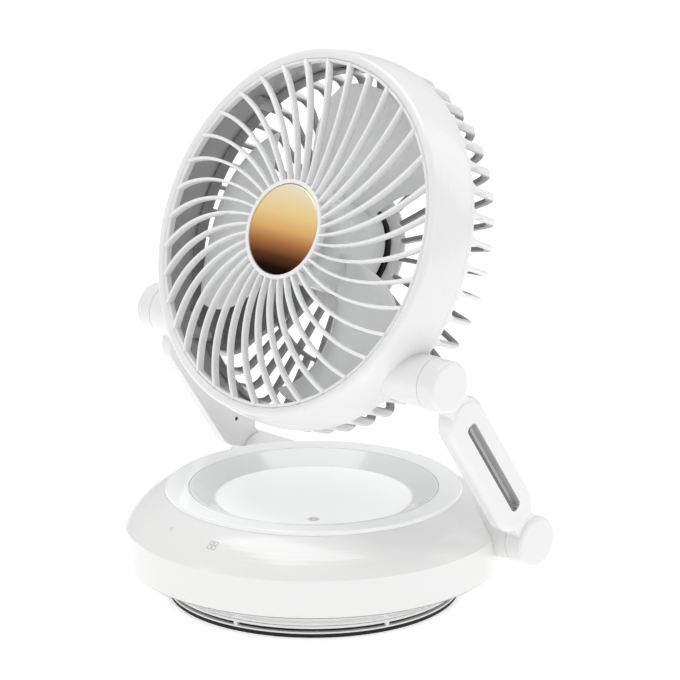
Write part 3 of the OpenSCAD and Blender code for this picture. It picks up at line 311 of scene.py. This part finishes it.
# The lamp's board is a ring of bare aluminium, which spreads the heat, screwed down under the reflector.
# Warm-white chips are soldered onto it on two circles, each under yellow phosphor.
brushed_board = Finish("brushed_board", (0.72, 0.73, 0.74), 0.35, metallic=1.0)
brushed_board.moulded(grain=2400, relief=0.15, cloud=0.12, rub=0.1)
brushed_board.dress("lamp_board")
phosphor = Finish("phosphor", (0.93, 0.72, 0.2), 0.4)
phosphor.moulded(grain=3000, relief=0.2, cloud=0.15)
phosphor.dress("lamp_leds")

# Two wrapped cells lie side by side in a black holder on the base's floor.
# The green control board stands on four posts and carries black parts and the steel charging socket.
holder_black = Finish("holder_black", (0.03, 0.03, 0.032), 0.5)
holder_black.moulded(grain=1500, relief=0.2, cloud=0.3)
holder_black.dress("battery_holder", "control_parts")
cell_wrap_end = 31.5 * mm
cell_wrap = Finish("cell_wrap", (0.1, 0.27, 0.5), 0.28)
cell_end = cell_wrap.axis("X").math("ABSOLUTE").math("GREATER_THAN", cell_wrap_end)
cell_wrap.set("Base Color", cell_wrap.mix(cell_end, (0.1, 0.27, 0.5), (0.7, 0.71, 0.72)))
cell_wrap.set("Metallic", cell_end)
cell_wrap.set("Roughness", cell_wrap.noise(120) * 0.15 + 0.22)
cell_wrap.dress("battery_cells")

track_limit = 0.56
board_green = Finish("board_green", (0.03, 0.17, 0.07), 0.35)
board_tracks = board_green.noise(420, 0.0).math("GREATER_THAN", track_limit)
board_green.set("Base Color", board_green.mix(board_tracks, (0.025, 0.15, 0.06), (0.05, 0.25, 0.1)))
board_green.set("Roughness", 0.42 - board_tracks * 0.12)
board_green.bump(board_tracks, 0.3, 0.0001)
board_green.dress("control_board", "touch_board")

bright_steel = Finish("bright_steel", (0.62, 0.63, 0.65), 0.28, metallic=1.0)
bright_steel.moulded(grain=1600, relief=0.12, cloud=0.1, rub=0.08)
bright_steel.dress("usb_socket", "board_screws", "base_screws")

# The two touch keys are light guides of frosted plastic, let into pockets under the shoulder.
# Pads of soft black foam on the touch board press them up against the shell.
foam_black = Finish("foam_black", (0.04, 0.04, 0.04), 0.9)
foam_black.moulded(grain=2500, relief=0.8, cloud=0.5)
foam_black.dress("touch_pads")
guide_grey = Finish("guide_grey", (0.6, 0.61, 0.62), 0.15, transmission_weight=0.5)
guide_grey.moulded(grain=900, relief=0.05)
guide_grey.dress("lamp_key", "fan_key")


# The touch marks are printed on the shoulder in grey ink: a small ring over the lamp's guide
# and four little panes over the fan's.
shoulder_low = np.array((95.0, 36.6))
shoulder_high = np.array((74.0, 52.4))
shoulder_bulge = 2.2
shoulder_chord = shoulder_high - shoulder_low
shoulder_length = np.linalg.norm(shoulder_chord)
shoulder_radius = (shoulder_length ** 2 / 4 + shoulder_bulge ** 2) / (2 * shoulder_bulge)
shoulder_out = np.array((shoulder_chord[1], -shoulder_chord[0])) / shoulder_length
shoulder_middle = (shoulder_low + shoulder_high) / 2 - shoulder_out * (shoulder_radius - shoulder_bulge)
mark_share = 0.54
ink_proud = 0.03


def on_shoulder(across, up, azimuth, lift=ink_proud):
    """Points on the shoulder, in metres: across runs round the base and up runs along its arc, both in
    millimetres from the marks' height at an azimuth, and each point is lifted off the surface. The arc's
    angle is the low end's plus mark_share of the way to the high end's, plus up over its radius."""
    low = np.arctan2(*(shoulder_low - shoulder_middle)[::-1])
    high = np.arctan2(*(shoulder_high - shoulder_middle)[::-1])
    angle = low + (high - low) * mark_share + up / shoulder_radius
    radius = shoulder_middle[0] + (shoulder_radius + lift) * np.cos(angle)
    height = shoulder_middle[1] + (shoulder_radius + lift) * np.sin(angle)
    turn = azimuth + across / radius
    return mm * np.stack([radius * np.sin(turn), -radius * np.cos(turn), height], axis=-1)


def piece(name, sheets, sharp=35):
    """One mesh made of grids of points, in metres: each cell of a grid is a face, points that meet are
    merged, the faces are turned outwards, and edges sharper than an angle stay crisp."""
    points, faces, start = [], [], 0
    for sheet in sheets:
        rows, columns = sheet.shape[:2]
        index = start + np.arange(rows * columns).reshape(rows, columns)
        corners = (index[:-1, :-1], index[1:, :-1], index[1:, 1:], index[:-1, 1:])
        faces.append(np.stack(corners, axis=-1).reshape(-1, 4))
        points.append(sheet.reshape(-1, 3))
        start += rows * columns
    mesh = bpy.data.meshes.new(name)
    mesh.from_pydata(np.concatenate(points).tolist(), [], np.concatenate(faces).tolist())
    shape = bmesh.new()
    shape.from_mesh(mesh)
    bmesh.ops.remove_doubles(shape, verts=shape.verts, dist=2e-6)
    bmesh.ops.recalc_face_normals(shape, faces=shape.faces)
    shape.to_mesh(mesh)
    shape.free()
    mesh.polygons.foreach_set("use_smooth", np.ones(len(mesh.polygons), dtype=bool))
    mesh.set_sharp_from_angle(angle=radians(sharp))
    made = bpy.data.objects.new(name, mesh)
    bpy.context.scene.collection.objects.link(made)
    return made


def ink_line(half, corner, width, middle, azimuth):
    """A closed printed line: a square with round corners, half as wide as half says, drawn as a flat
    band with a low crown. A corner as large as half makes it a circle."""
    t = np.linspace(0, 2 * pi, 41)[:, None]
    offset = np.array((-0.5, -0.5, 0.0, 0.5, 0.5, -0.5))[None, :] * width
    lift = np.array((-0.05, 0.02, 0.03, 0.02, -0.05, -0.05))[None, :] + 0 * t
    core = half - corner
    u = middle[0] + (corner + offset) * np.cos(t) + core * np.clip(np.cos(t) * 4, -1, 1)
    v = middle[1] + (corner + offset) * np.sin(t) + core * np.clip(np.sin(t) * 4, -1, 1)
    return on_shoulder(u, v, azimuth, lift)


key_ink = Finish("key_ink", (0.42, 0.42, 0.43), 0.45)
key_ink.set("Base Color", key_ink.mix(key_ink.noise(900), (0.38, 0.38, 0.39), (0.47, 0.47, 0.48)))
key_ink.bump(key_ink.noise(4000), 0.1)

lamp_mark_azimuth = radians(-9.2)
lamp_mark_up = 0.9
lamp_mark_radius = 0.95
lamp_mark = piece("lamp_mark", [
    ink_line(lamp_mark_radius, lamp_mark_radius, 0.22, (0, lamp_mark_up), lamp_mark_azimuth)])
fan_mark_azimuth = radians(11.5)
fan_mark_up = -0.7
pane_at = 1.22
pane_half = 1.0
pane_corner = 0.45
fan_mark = piece("fan_mark", [
    ink_line(pane_half, pane_corner, 0.28, (x, y + fan_mark_up), fan_mark_azimuth)
    for x in (-pane_at, pane_at) for y in (-pane_at, pane_at)
])
for mark in (lamp_mark, fan_mark):
    mark.data.materials.append(key_ink.material)
    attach(mark, "base")

# The lower hinges: white barrels set into the base's sides, each with a fibre washer and a steel pin
# that a nut and a spring washer pull tight, so that the arms stay where they are put.
barrel_white = Finish("barrel_white", (0.86, 0.86, 0.855), 0.22, coat_weight=0.3, coat_roughness=0.05)
barrel_white.moulded(grain=900, relief=0.035)
barrel_white.dress("base_barrel_right", "base_barrel_left")
fibre_black = Finish("fibre_black", (0.03, 0.03, 0.03), 0.7)
fibre_black.moulded(grain=3000, relief=0.5, cloud=0.4)
fibre_black.dress("lower_washer_right", "lower_washer_left", "upper_washer_right", "upper_washer_left")
pin_steel = Finish("pin_steel", (0.6, 0.61, 0.63), 0.22, metallic=1.0)
pin_steel.moulded(grain=1400, relief=0.1, cloud=0.1)
pin_steel.dress("lower_pin_right", "lower_pin_left", "lower_nuts", "lower_springs",
                "upper_pin_right", "upper_pin_left", "upper_nuts", "upper_springs", "arm_pegs")

# Each arm is two white mouldings: an outer cover with both knuckles and an inner plate, pegged together.
# The cover has a long blind slot, whose walls and floor are darkened by painted shade, and the plate has
# a small drain hole.
hinge_place = np.array(joints["arm_fold"]["pos_m"])
arm_lean = radians(34.5)
arm_up = (0, -sin(arm_lean), cos(arm_lean))
arm_over = (0, cos(arm_lean), sin(arm_lean))
slot_low = 27.0
slot_high = 81.8
slot_shift = 0.8
slot_reach = 2.46
slot_edge = 0.04
plate_outside = 95.7 * mm
plate_edge = 0.2 * mm
slot_painted_shade = (0.11, 0.11, 0.11)
arm_white = Finish("arm_white", (0.86, 0.86, 0.86), 0.24, coat_weight=0.3, coat_roughness=0.06)
arm_white.moulded(grain=900, relief=0.035)
slot_way = arm_white.along(hinge_place, arm_up) * (1 / mm) - (slot_low + slot_high) / 2
slot_past = (slot_way.math("ABSOLUTE") - (slot_high - slot_low) / 2).math("MAXIMUM", 0)
slot_off = arm_white.along(hinge_place, arm_over) * (1 / mm) + slot_shift
slot_gap = (slot_past * slot_past + slot_off * slot_off).math("SQRT")
slot_shade_share = arm_white.step(slot_gap, slot_reach + slot_edge, slot_reach)
past_plate = arm_white.step(
    arm_white.axis("X").math("ABSOLUTE"), plate_outside, plate_outside + plate_edge)
# Painted shade: inside the slot, and outside the inner plate, the colour goes dark grey.
arm_white.shaded(slot_shade_share * past_plate, slot_painted_shade)
arm_white.dress("arm_cover_right", "arm_cover_left", "arm_inner_right", "arm_inner_left")

# The ring of the head is one glossy white moulding with a hinge barrel on each side and a smooth
# air duct inside, whose surface behind the lip is darkened grey by painted shade.
face_middle = np.array(joints["fan_spin"]["pos_m"])
face_out = np.array(joints["fan_spin"]["axis"])
face_across = np.array((1.0, 0.0, 0.0))
face_up = np.cross(face_out, face_across)

duct_radius = 89.5 * mm
lip_depth = 4.7 * mm
duct_edge = 0.1 * mm
duct_painted_shade = (0.42, 0.42, 0.42)
ring_white = Finish("ring_white", (0.87, 0.87, 0.87), 0.22, coat_weight=0.3, coat_roughness=0.05)
ring_white.moulded(grain=900, relief=0.035)
in_duct = ring_white.step(
    ring_white.around(face_middle, face_out), duct_radius + duct_edge, duct_radius - duct_edge)
behind_lip = ring_white.step(
    ring_white.along(face_middle, face_out), duct_edge - lip_depth, -duct_edge - lip_depth)
# Painted shade: the duct's surface behind the lip goes grey.
ring_white.shaded(in_duct * behind_lip, duct_painted_shade)
ring_white.dress("head_ring", "pocket_caps")


# The front grille is one satin white moulding: a rim that snaps into the ring, thirty-six curved
# spokes that rise in a low dome, and a hub with a raised rim.
def in_head(x, y, z):
    """Points of the head, in metres, from millimetres to the right, up the face and out of it."""
    across = np.multiply.outer(x, face_across)
    return face_middle + mm * (across + np.multiply.outer(y, face_up) + np.multiply.outer(z, face_out))


def eased(corners, radius, steps=5):
    """A line through corners whose inner corners are rounded: each is swapped for a short curve that
    starts and ends at most radius away, or not quite half a side away."""
    corners = np.array(corners, float)
    inner = corners[1:-1, None]
    before = corners[:-2, None] - inner
    after = corners[2:, None] - inner
    t = np.linspace(0, 1, steps)[None, :, None]

    def cut(side):
        length = np.linalg.norm(side, axis=-1, keepdims=True)
        return side / length * np.minimum(radius, 0.45 * length)

    curve = inner + (1 - t) ** 2 * cut(before) + t ** 2 * cut(after)
    return np.concatenate([corners[:1], curve.reshape(-1, corners.shape[1]), corners[-1:]])


def turned(line, steps=180, place=in_head):
    """A body turned on the head's axis from a line of radius and height."""
    turn = np.linspace(0, 2 * pi, steps + 1)[None, :]
    radius, height = line[:, :1], line[:, 1:]
    return place(radius * np.cos(turn), radius * np.sin(turn), height + 0 * turn)


def swept(path, across, inward, width, depth, corner, count=14):
    """A bar along a path: at each point a section as wide and as deep as given, between an ellipse
    and a box as corner says, spans the directions across and inward. Round the section the two ways
    are cosine and sine to the power of corner, with their signs kept. Both ends close to a point."""
    t = np.linspace(0, 2 * pi, count + 1)[None, :, None]
    x = np.sign(np.cos(t)) * np.abs(np.cos(t)) ** corner
    y = np.sign(np.sin(t)) * np.abs(np.sin(t)) ** corner
    sideways = across[:, None] * x * width[:, None, None] / 2
    bar = path[:, None] + sideways + inward[:, None] * y * depth[:, None, None] / 2
    return np.concatenate([path[:1, None] + 0 * bar[:1], bar, path[-1:, None] + 0 * bar[-1:]])


def placed(bar, turns):
    """Copies of a bar, in the head, turned about its axis by each of the angles."""
    copies = []
    for turn in turns:
        x = bar[..., 0] * cos(turn) - bar[..., 1] * sin(turn)
        y = bar[..., 0] * sin(turn) + bar[..., 1] * cos(turn)
        copies.append(in_head(x, y, bar[..., 2]))
    return copies


def ringed(bar, count, first):
    """Evenly spread copies of a bar, from a first angle on."""
    return placed(bar, first + 2 * pi * np.arange(count) / count)


rim_outer = 86.98
rim_inner = 85.2
rim_back = -4.2
hub_outer = 24.9
hub_inner = 22.8
hub_floor = 1.6
hub_proud = 0.2
dome_top = 6.8
dome_radius = 44
dome_fall = 270
spoke_count = 36
spoke_hub_width = 1.3
spoke_rim_width = 1.95
spoke_depth = 4.4
spoke_from = 24.3
spoke_to = 86.4
spoke_lead = radians(7)
spoke_sweep = radians(22)
spoke_turn = radians(4.8)


def dome(radius):
    """Height of the spokes' front edges: dome_top at dome_radius from the axis, and lower by the square
    of the way from there over dome_fall."""
    return dome_top - (radius - dome_radius) ** 2 / dome_fall


def spoke():
    """One spoke: an arc that leaves the hub at a small angle and ends swept round the rim, with its
    front edge on the dome. The radius of the arc follows from its two ends and its first direction."""
    end = np.array((spoke_to * cos(spoke_sweep) - spoke_from, spoke_to * sin(spoke_sweep)))
    normal = np.array((-sin(spoke_lead), cos(spoke_lead)))
    radius = end @ end / (2 * end @ normal)
    middle = np.array((spoke_from, 0)) + radius * normal
    first = spoke_lead - pi / 2
    last = np.arctan2(*(end + (spoke_from, 0) - middle)[::-1])
    share = np.linspace(0, 1, 27)
    turn = first + (last - first) * share
    x, y = middle[0] + radius * np.cos(turn), middle[1] + radius * np.sin(turn)
    path = np.stack([x, y, dome(np.hypot(x, y)) - spoke_depth / 2], axis=-1)
    across = np.stack([np.cos(turn), np.sin(turn), 0 * turn], axis=-1)
    inward = np.stack([0 * turn, 0 * turn, 1 + 0 * turn], axis=-1)
    width = spoke_hub_width + (spoke_rim_width - spoke_hub_width) * share ** 1.5
    return swept(path, across, inward, width, spoke_depth + 0 * share, 0.5)


hub_rim_top = dome(hub_outer) + hub_proud
hub_back = dome(hub_outer) - spoke_depth
front_rim = eased([
    (rim_inner, rim_back), (rim_outer, rim_back), (rim_outer, -1.35), (rim_outer - 0.7, -0.6),
    (rim_inner, -1), (rim_inner, rim_back)], 0.5)
front_hub = eased([
    (0, hub_back), (hub_outer, hub_back), (hub_outer, hub_rim_top), (hub_inner, hub_rim_top),
    (hub_inner, hub_back + hub_floor), (0, hub_back + hub_floor)], 0.6)
front_grille = piece("front_spokes", [
    turned(front_rim), turned(front_hub), *ringed(spoke(), spoke_count, spoke_turn - spoke_sweep)])
grille_white = Finish("grille_white", (0.9, 0.9, 0.9), 0.28, coat_weight=0.2, coat_roughness=0.08)
grille_white.moulded(grain=1100, relief=0.04)
front_grille.data.materials.append(grille_white.material)
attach(front_grille, "head")
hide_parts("front_grille")

# The hub disc is a turned aluminium blank in copper gold, whose tone runs from nearly black at its
# foot to pale gold at its top. It is lacquered and glued into the hub's cup.
badge_radius = 22.5 * mm
badge_gold = Finish("badge_gold", (0.72, 0.42, 0.18), 0.45, metallic=1.0)
badge_height = badge_gold.along(face_middle, face_up) * (0.5 / badge_radius) + 0.5
badge_stops = [
    (0.0, (0.004, 0.002, 0.001)), (0.08, (0.014, 0.005, 0.002)), (0.2, (0.13, 0.042, 0.013)),
    (0.35, (0.5, 0.21, 0.07)), (0.5, (0.88, 0.52, 0.2)), (0.66, (1.0, 0.74, 0.34)),
    (0.82, (1.0, 0.84, 0.5)), (1.0, (1.0, 0.93, 0.74)),
]
badge_tone = badge_gold.node("ShaderNodeValToRGB", {"stops": badge_stops}, {0: badge_height})
badge_gold.set("Base Color", badge_tone)
badge_gold.set("Roughness", badge_gold.noise(60, 1.0) * 0.03 + 0.44)
badge_gold.dress("hub_badge")

# The rear grille is one white moulding, screwed to the ring: a rim, forty-five ribs that run back, turn
# the corner and run in to the motor's mount, or every second one only to a thin ring, a closed channel
# that takes the wires from the left hinge to the mount, and four lugs for the screws.
rib_count = 45
rib_width = 2.4
rib_depth = 4.8
rib_turn = radians(122.6)
cage_front = 25.3
cage_radius = 93.4
cage_flare = 0.7
cage_corner = 10.0
cage_depth = 50.0
cage_inner = 31.0
gap_start = 26.4
tie_radius = 58.0
tie_half = 0.9
tie_back = -49.5
tie_front = -45.7
mount_radius = 32.0
mount_front = -47.0
mount_back = -49.97


def rib(end_radius):
    """One rib: back along the side, a quarter circle round the corner, then straight inwards as far as
    end_radius. Near the rim it widens by the gap's radius less a circle's half chord, so that the gaps
    between ribs start round."""
    side_length = cage_depth - cage_corner - cage_front
    side = cage_front + side_length * np.linspace(0, 1, 14) ** 1.2
    bend = np.linspace(0, pi / 2, 10)[1:]
    way_in = np.linspace(0, 1, 18)[1:]
    corner_radius = cage_radius - cage_corner
    radius = np.concatenate([
        cage_radius + cage_flare * (1 - (side - cage_front) / side_length),
        corner_radius + cage_corner * np.cos(bend),
        corner_radius * (1 - way_in) + end_radius * way_in])
    depth = np.concatenate([
        side, cage_depth - cage_corner + cage_corner * np.sin(bend), cage_depth + 0 * way_in])
    lean = np.concatenate([0 * side, bend, pi / 2 + 0 * way_in])
    middle_radius = radius - rib_depth / 2 * np.cos(lean)
    middle_depth = depth - rib_depth / 2 * np.sin(lean)
    path = np.stack([middle_radius, 0 * radius, -middle_depth], axis=-1)
    across = np.stack([0 * radius, 1 + 0 * radius, 0 * radius], axis=-1)
    inward = np.stack([np.cos(lean), 0 * radius, -np.sin(lean)], axis=-1)
    pitch = 2 * pi * cage_radius / rib_count
    open_radius = (pitch - rib_width) / 2
    past = np.clip(open_radius - (depth - gap_start), 0, open_radius)
    width = pitch - 2 * np.sqrt(open_radius ** 2 - past ** 2)
    width[len(side):] = rib_width
    return swept(path, across, inward, width, rib_depth + 0 * width, 0.55)


hinge_low = 52.8
hinge_side = 92.5
channel_turn = pi + np.arctan2(hinge_low, hinge_side)
channel_half = 9.0
channel_flare = 0.197
channel_inset = 0.5


def channel():
    """The wires' channel: a hollow plate that follows the ribs' side, corner and back a little inside
    their faces, and flares by a share of the way out. At v from one edge, -1, to the other, 1, the way x
    out from the axis solves x^2 + v^2 (half + flare x)^2 = radius^2."""
    bend = np.linspace(0, pi / 2, 10)

    def line(step):
        """Radius and height along side, corner and back, at a step inside the ribs' faces."""
        corner = cage_corner - step
        radius = np.concatenate([
            [cage_radius - step], cage_radius - cage_corner + corner * np.cos(bend), [cage_inner]])
        height = np.concatenate([
            [-cage_front], cage_corner - cage_depth - corner * np.sin(bend), [step - cage_depth]])
        return np.stack([radius, height], axis=-1)

    def sheet(lines, v):
        """The points of such lines at v across the channel."""
        radius, height = lines[..., 0], lines[..., 1]
        square = 1 + (v * channel_flare) ** 2
        linear = v ** 2 * channel_half * channel_flare
        x = (np.sqrt(linear ** 2 + square * (radius ** 2 - (v * channel_half) ** 2)) - linear) / square
        y = v * (channel_half + channel_flare * x)
        return in_head(
            x * cos(channel_turn) - y * sin(channel_turn), x * sin(channel_turn) + y * cos(channel_turn),
            height + 0 * x)

    outer, inner = line(channel_inset), line(rib_depth - channel_inset)
    loop = np.concatenate([outer, inner[::-1], outer[:1]])
    edge = np.stack([outer, inner])
    return [sheet(loop, np.linspace(-1, 1, 25)[:, None]), sheet(edge, -1.0), sheet(edge, 1.0)]


rear_rim = eased([
    (86.1, -28.3), (86.1, -21.6), (87.3, -21.6), (87.3, -23.7), (94.5, -23.7), (94.3, -26.6),
    (89.1, -26.6), (89.1, -28.3), (86.1, -28.3)], 0.5)
mount_plate = eased([
    (0, mount_front), (mount_radius, mount_front), (mount_radius, mount_back), (0, mount_back)], 1.2)
tie_ring = eased([
    (tie_radius - tie_half, tie_back), (tie_radius + tie_half, tie_back),
    (tie_radius + tie_half, tie_front), (tie_radius - tie_half, tie_front),
    (tie_radius - tie_half, tie_back)], 0.5)
long_ribs = 2 * pi * np.arange(0, rib_count, 2) / rib_count
short_ribs = 2 * pi * np.arange(1, rib_count, 2) / rib_count
lug_at = 85.0
lug_line = eased([(0, -28.1), (3.2, -28.1), (3.2, -23.8), (0, -23.8)], 0.3)
lugs = [
    turned(lug_line, 24, lambda x, y, z, a=a: in_head(x + lug_at * cos(a), y + lug_at * sin(a), z))
    for a in np.radians((45, 135, 225, 315))
]
rear_grille = piece("rear_ribs", [
    turned(rear_rim), turned(mount_plate, 96), turned(tie_ring), *channel(), *lugs,
    *placed(rib(cage_inner), rib_turn + long_ribs), *placed(rib(tie_radius), rib_turn + short_ribs)])
cage_painted_shade = (0.24, 0.24, 0.24)
rear_white = Finish("rear_white", (0.87, 0.87, 0.87), 0.3, coat_weight=0.15, coat_roughness=0.1)
rear_white.moulded(grain=1100, relief=0.04)
from_side = cage_radius * mm - rear_white.around(face_middle, face_out)
from_back = rear_white.along(face_middle, face_out) + cage_depth * mm
off_mount = rear_white.step(
    rear_white.around(face_middle, face_out), (mount_radius + 0.2) * mm, (mount_radius + 1) * mm)
side_shade_share = rear_white.step(from_side, 3 * mm, 4.6 * mm)
back_shade_share = rear_white.step(from_back, 0.2 * mm, 1.2 * mm)
# Painted shade: the ribs' faces inside the cage, away from the mount, go dark grey.
rear_white.shaded(side_shade_share * back_shade_share * off_mount, cage_painted_shade)
rear_grille.data.materials.append(rear_white.material)
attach(rear_grille, "head")
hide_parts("rear_grille")

# The motor is a drawn steel can on the mount, held by two screws, with a black rubber ring round its
# foot that closes the gap to the impeller's hub. Four screws from behind hold the rear grille.
motor_steel = Finish("motor_steel", (0.6, 0.61, 0.62), 0.3, metallic=1.0)
motor_steel.moulded(grain=1500, relief=0.1, cloud=0.12, rub=0.08)
motor_steel.dress("motor", "motor_screws", "head_screws")
damper_rubber = Finish("damper_rubber", (0.015, 0.015, 0.015), 0.55)
damper_rubber.moulded(grain=2500, relief=0.3, cloud=0.3, rub=0.08)
damper_rubber.dress("motor_damper")

# The impeller is one moulding in milky white: a cup that covers the motor and three broad blades
# that twist from the hub to thin, rounded tips. It is pushed onto the shaft, and a clip holds it.
blade_count = 3
blade_root = 23.2
blade_tip = 80.0
blade_span = radians(76)
blade_lead = radians(14)
blade_sweep = radians(27)
blade_turn = radians(96)
blade_thick = 1.8
blade_middle = -25.5
blade_rise = 22
blade_flatter = 4
blade_wave = 0.12
blade_rounding = 3


def blade(side):
    """One face of a blade, the front one for side 1 and the rear one for -1. Over u from root to tip and
    v from rear to front edge, the angle runs from the swept rear edge to the leading front edge, the
    height follows v with a soft wave, and the thickness falls to nothing at the edges."""
    u = np.linspace(0, 1, 30)[:, None]
    v = (1 - np.cos(np.linspace(0, pi, 41)))[None, :] / 2
    angle = v * blade_lead * (1 - u ** 3) - (1 - v) * (blade_span - blade_sweep * (1 - u ** 2))
    corner = blade_rounding * np.abs(2 * v - 1) ** 8 * u ** 4
    radius = blade_root + (blade_tip - blade_root) * u - corner
    rise = blade_rise - blade_flatter * u
    full = np.clip(30 * u, 0, 1) * np.sqrt(1 - u ** 30) * np.sqrt(1 - np.abs(2 * v - 1) ** 12)
    middle = blade_middle + rise * (v - 0.5 + blade_wave * np.sin(2 * pi * v))
    height = middle + side * full * blade_thick / 2
    return np.stack([radius * np.cos(angle), radius * np.sin(angle), height], axis=-1)


cup = eased([
    (0, -9), (19, -9), (22.6, -11), (24, -14),
    (24, -43.7), (21.8, -43.7), (21.8, -13.2), (0, -11.2)], 1.4)
impeller = piece("fan_blades", [
    turned(cup, 96),
    *ringed(blade(1), blade_count, blade_turn), *ringed(blade(-1), blade_count, blade_turn)])
blade_milk = Finish("blade_milk", (0.86, 0.865, 0.87), 0.26, coat_weight=0.3, coat_roughness=0.06)
blade_milk.moulded(grain=900, relief=0.03, cloud=0.04)
impeller.data.materials.append(blade_milk.material)
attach(impeller, "fan_wheel")
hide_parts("impeller")

shaft_steel = Finish("shaft_steel", (0.66, 0.67, 0.69), 0.15, metallic=1.0)
shaft_steel.moulded(grain=1800, relief=0.05, cloud=0.08)
shaft_steel.dress("motor_shaft", "shaft_clip")
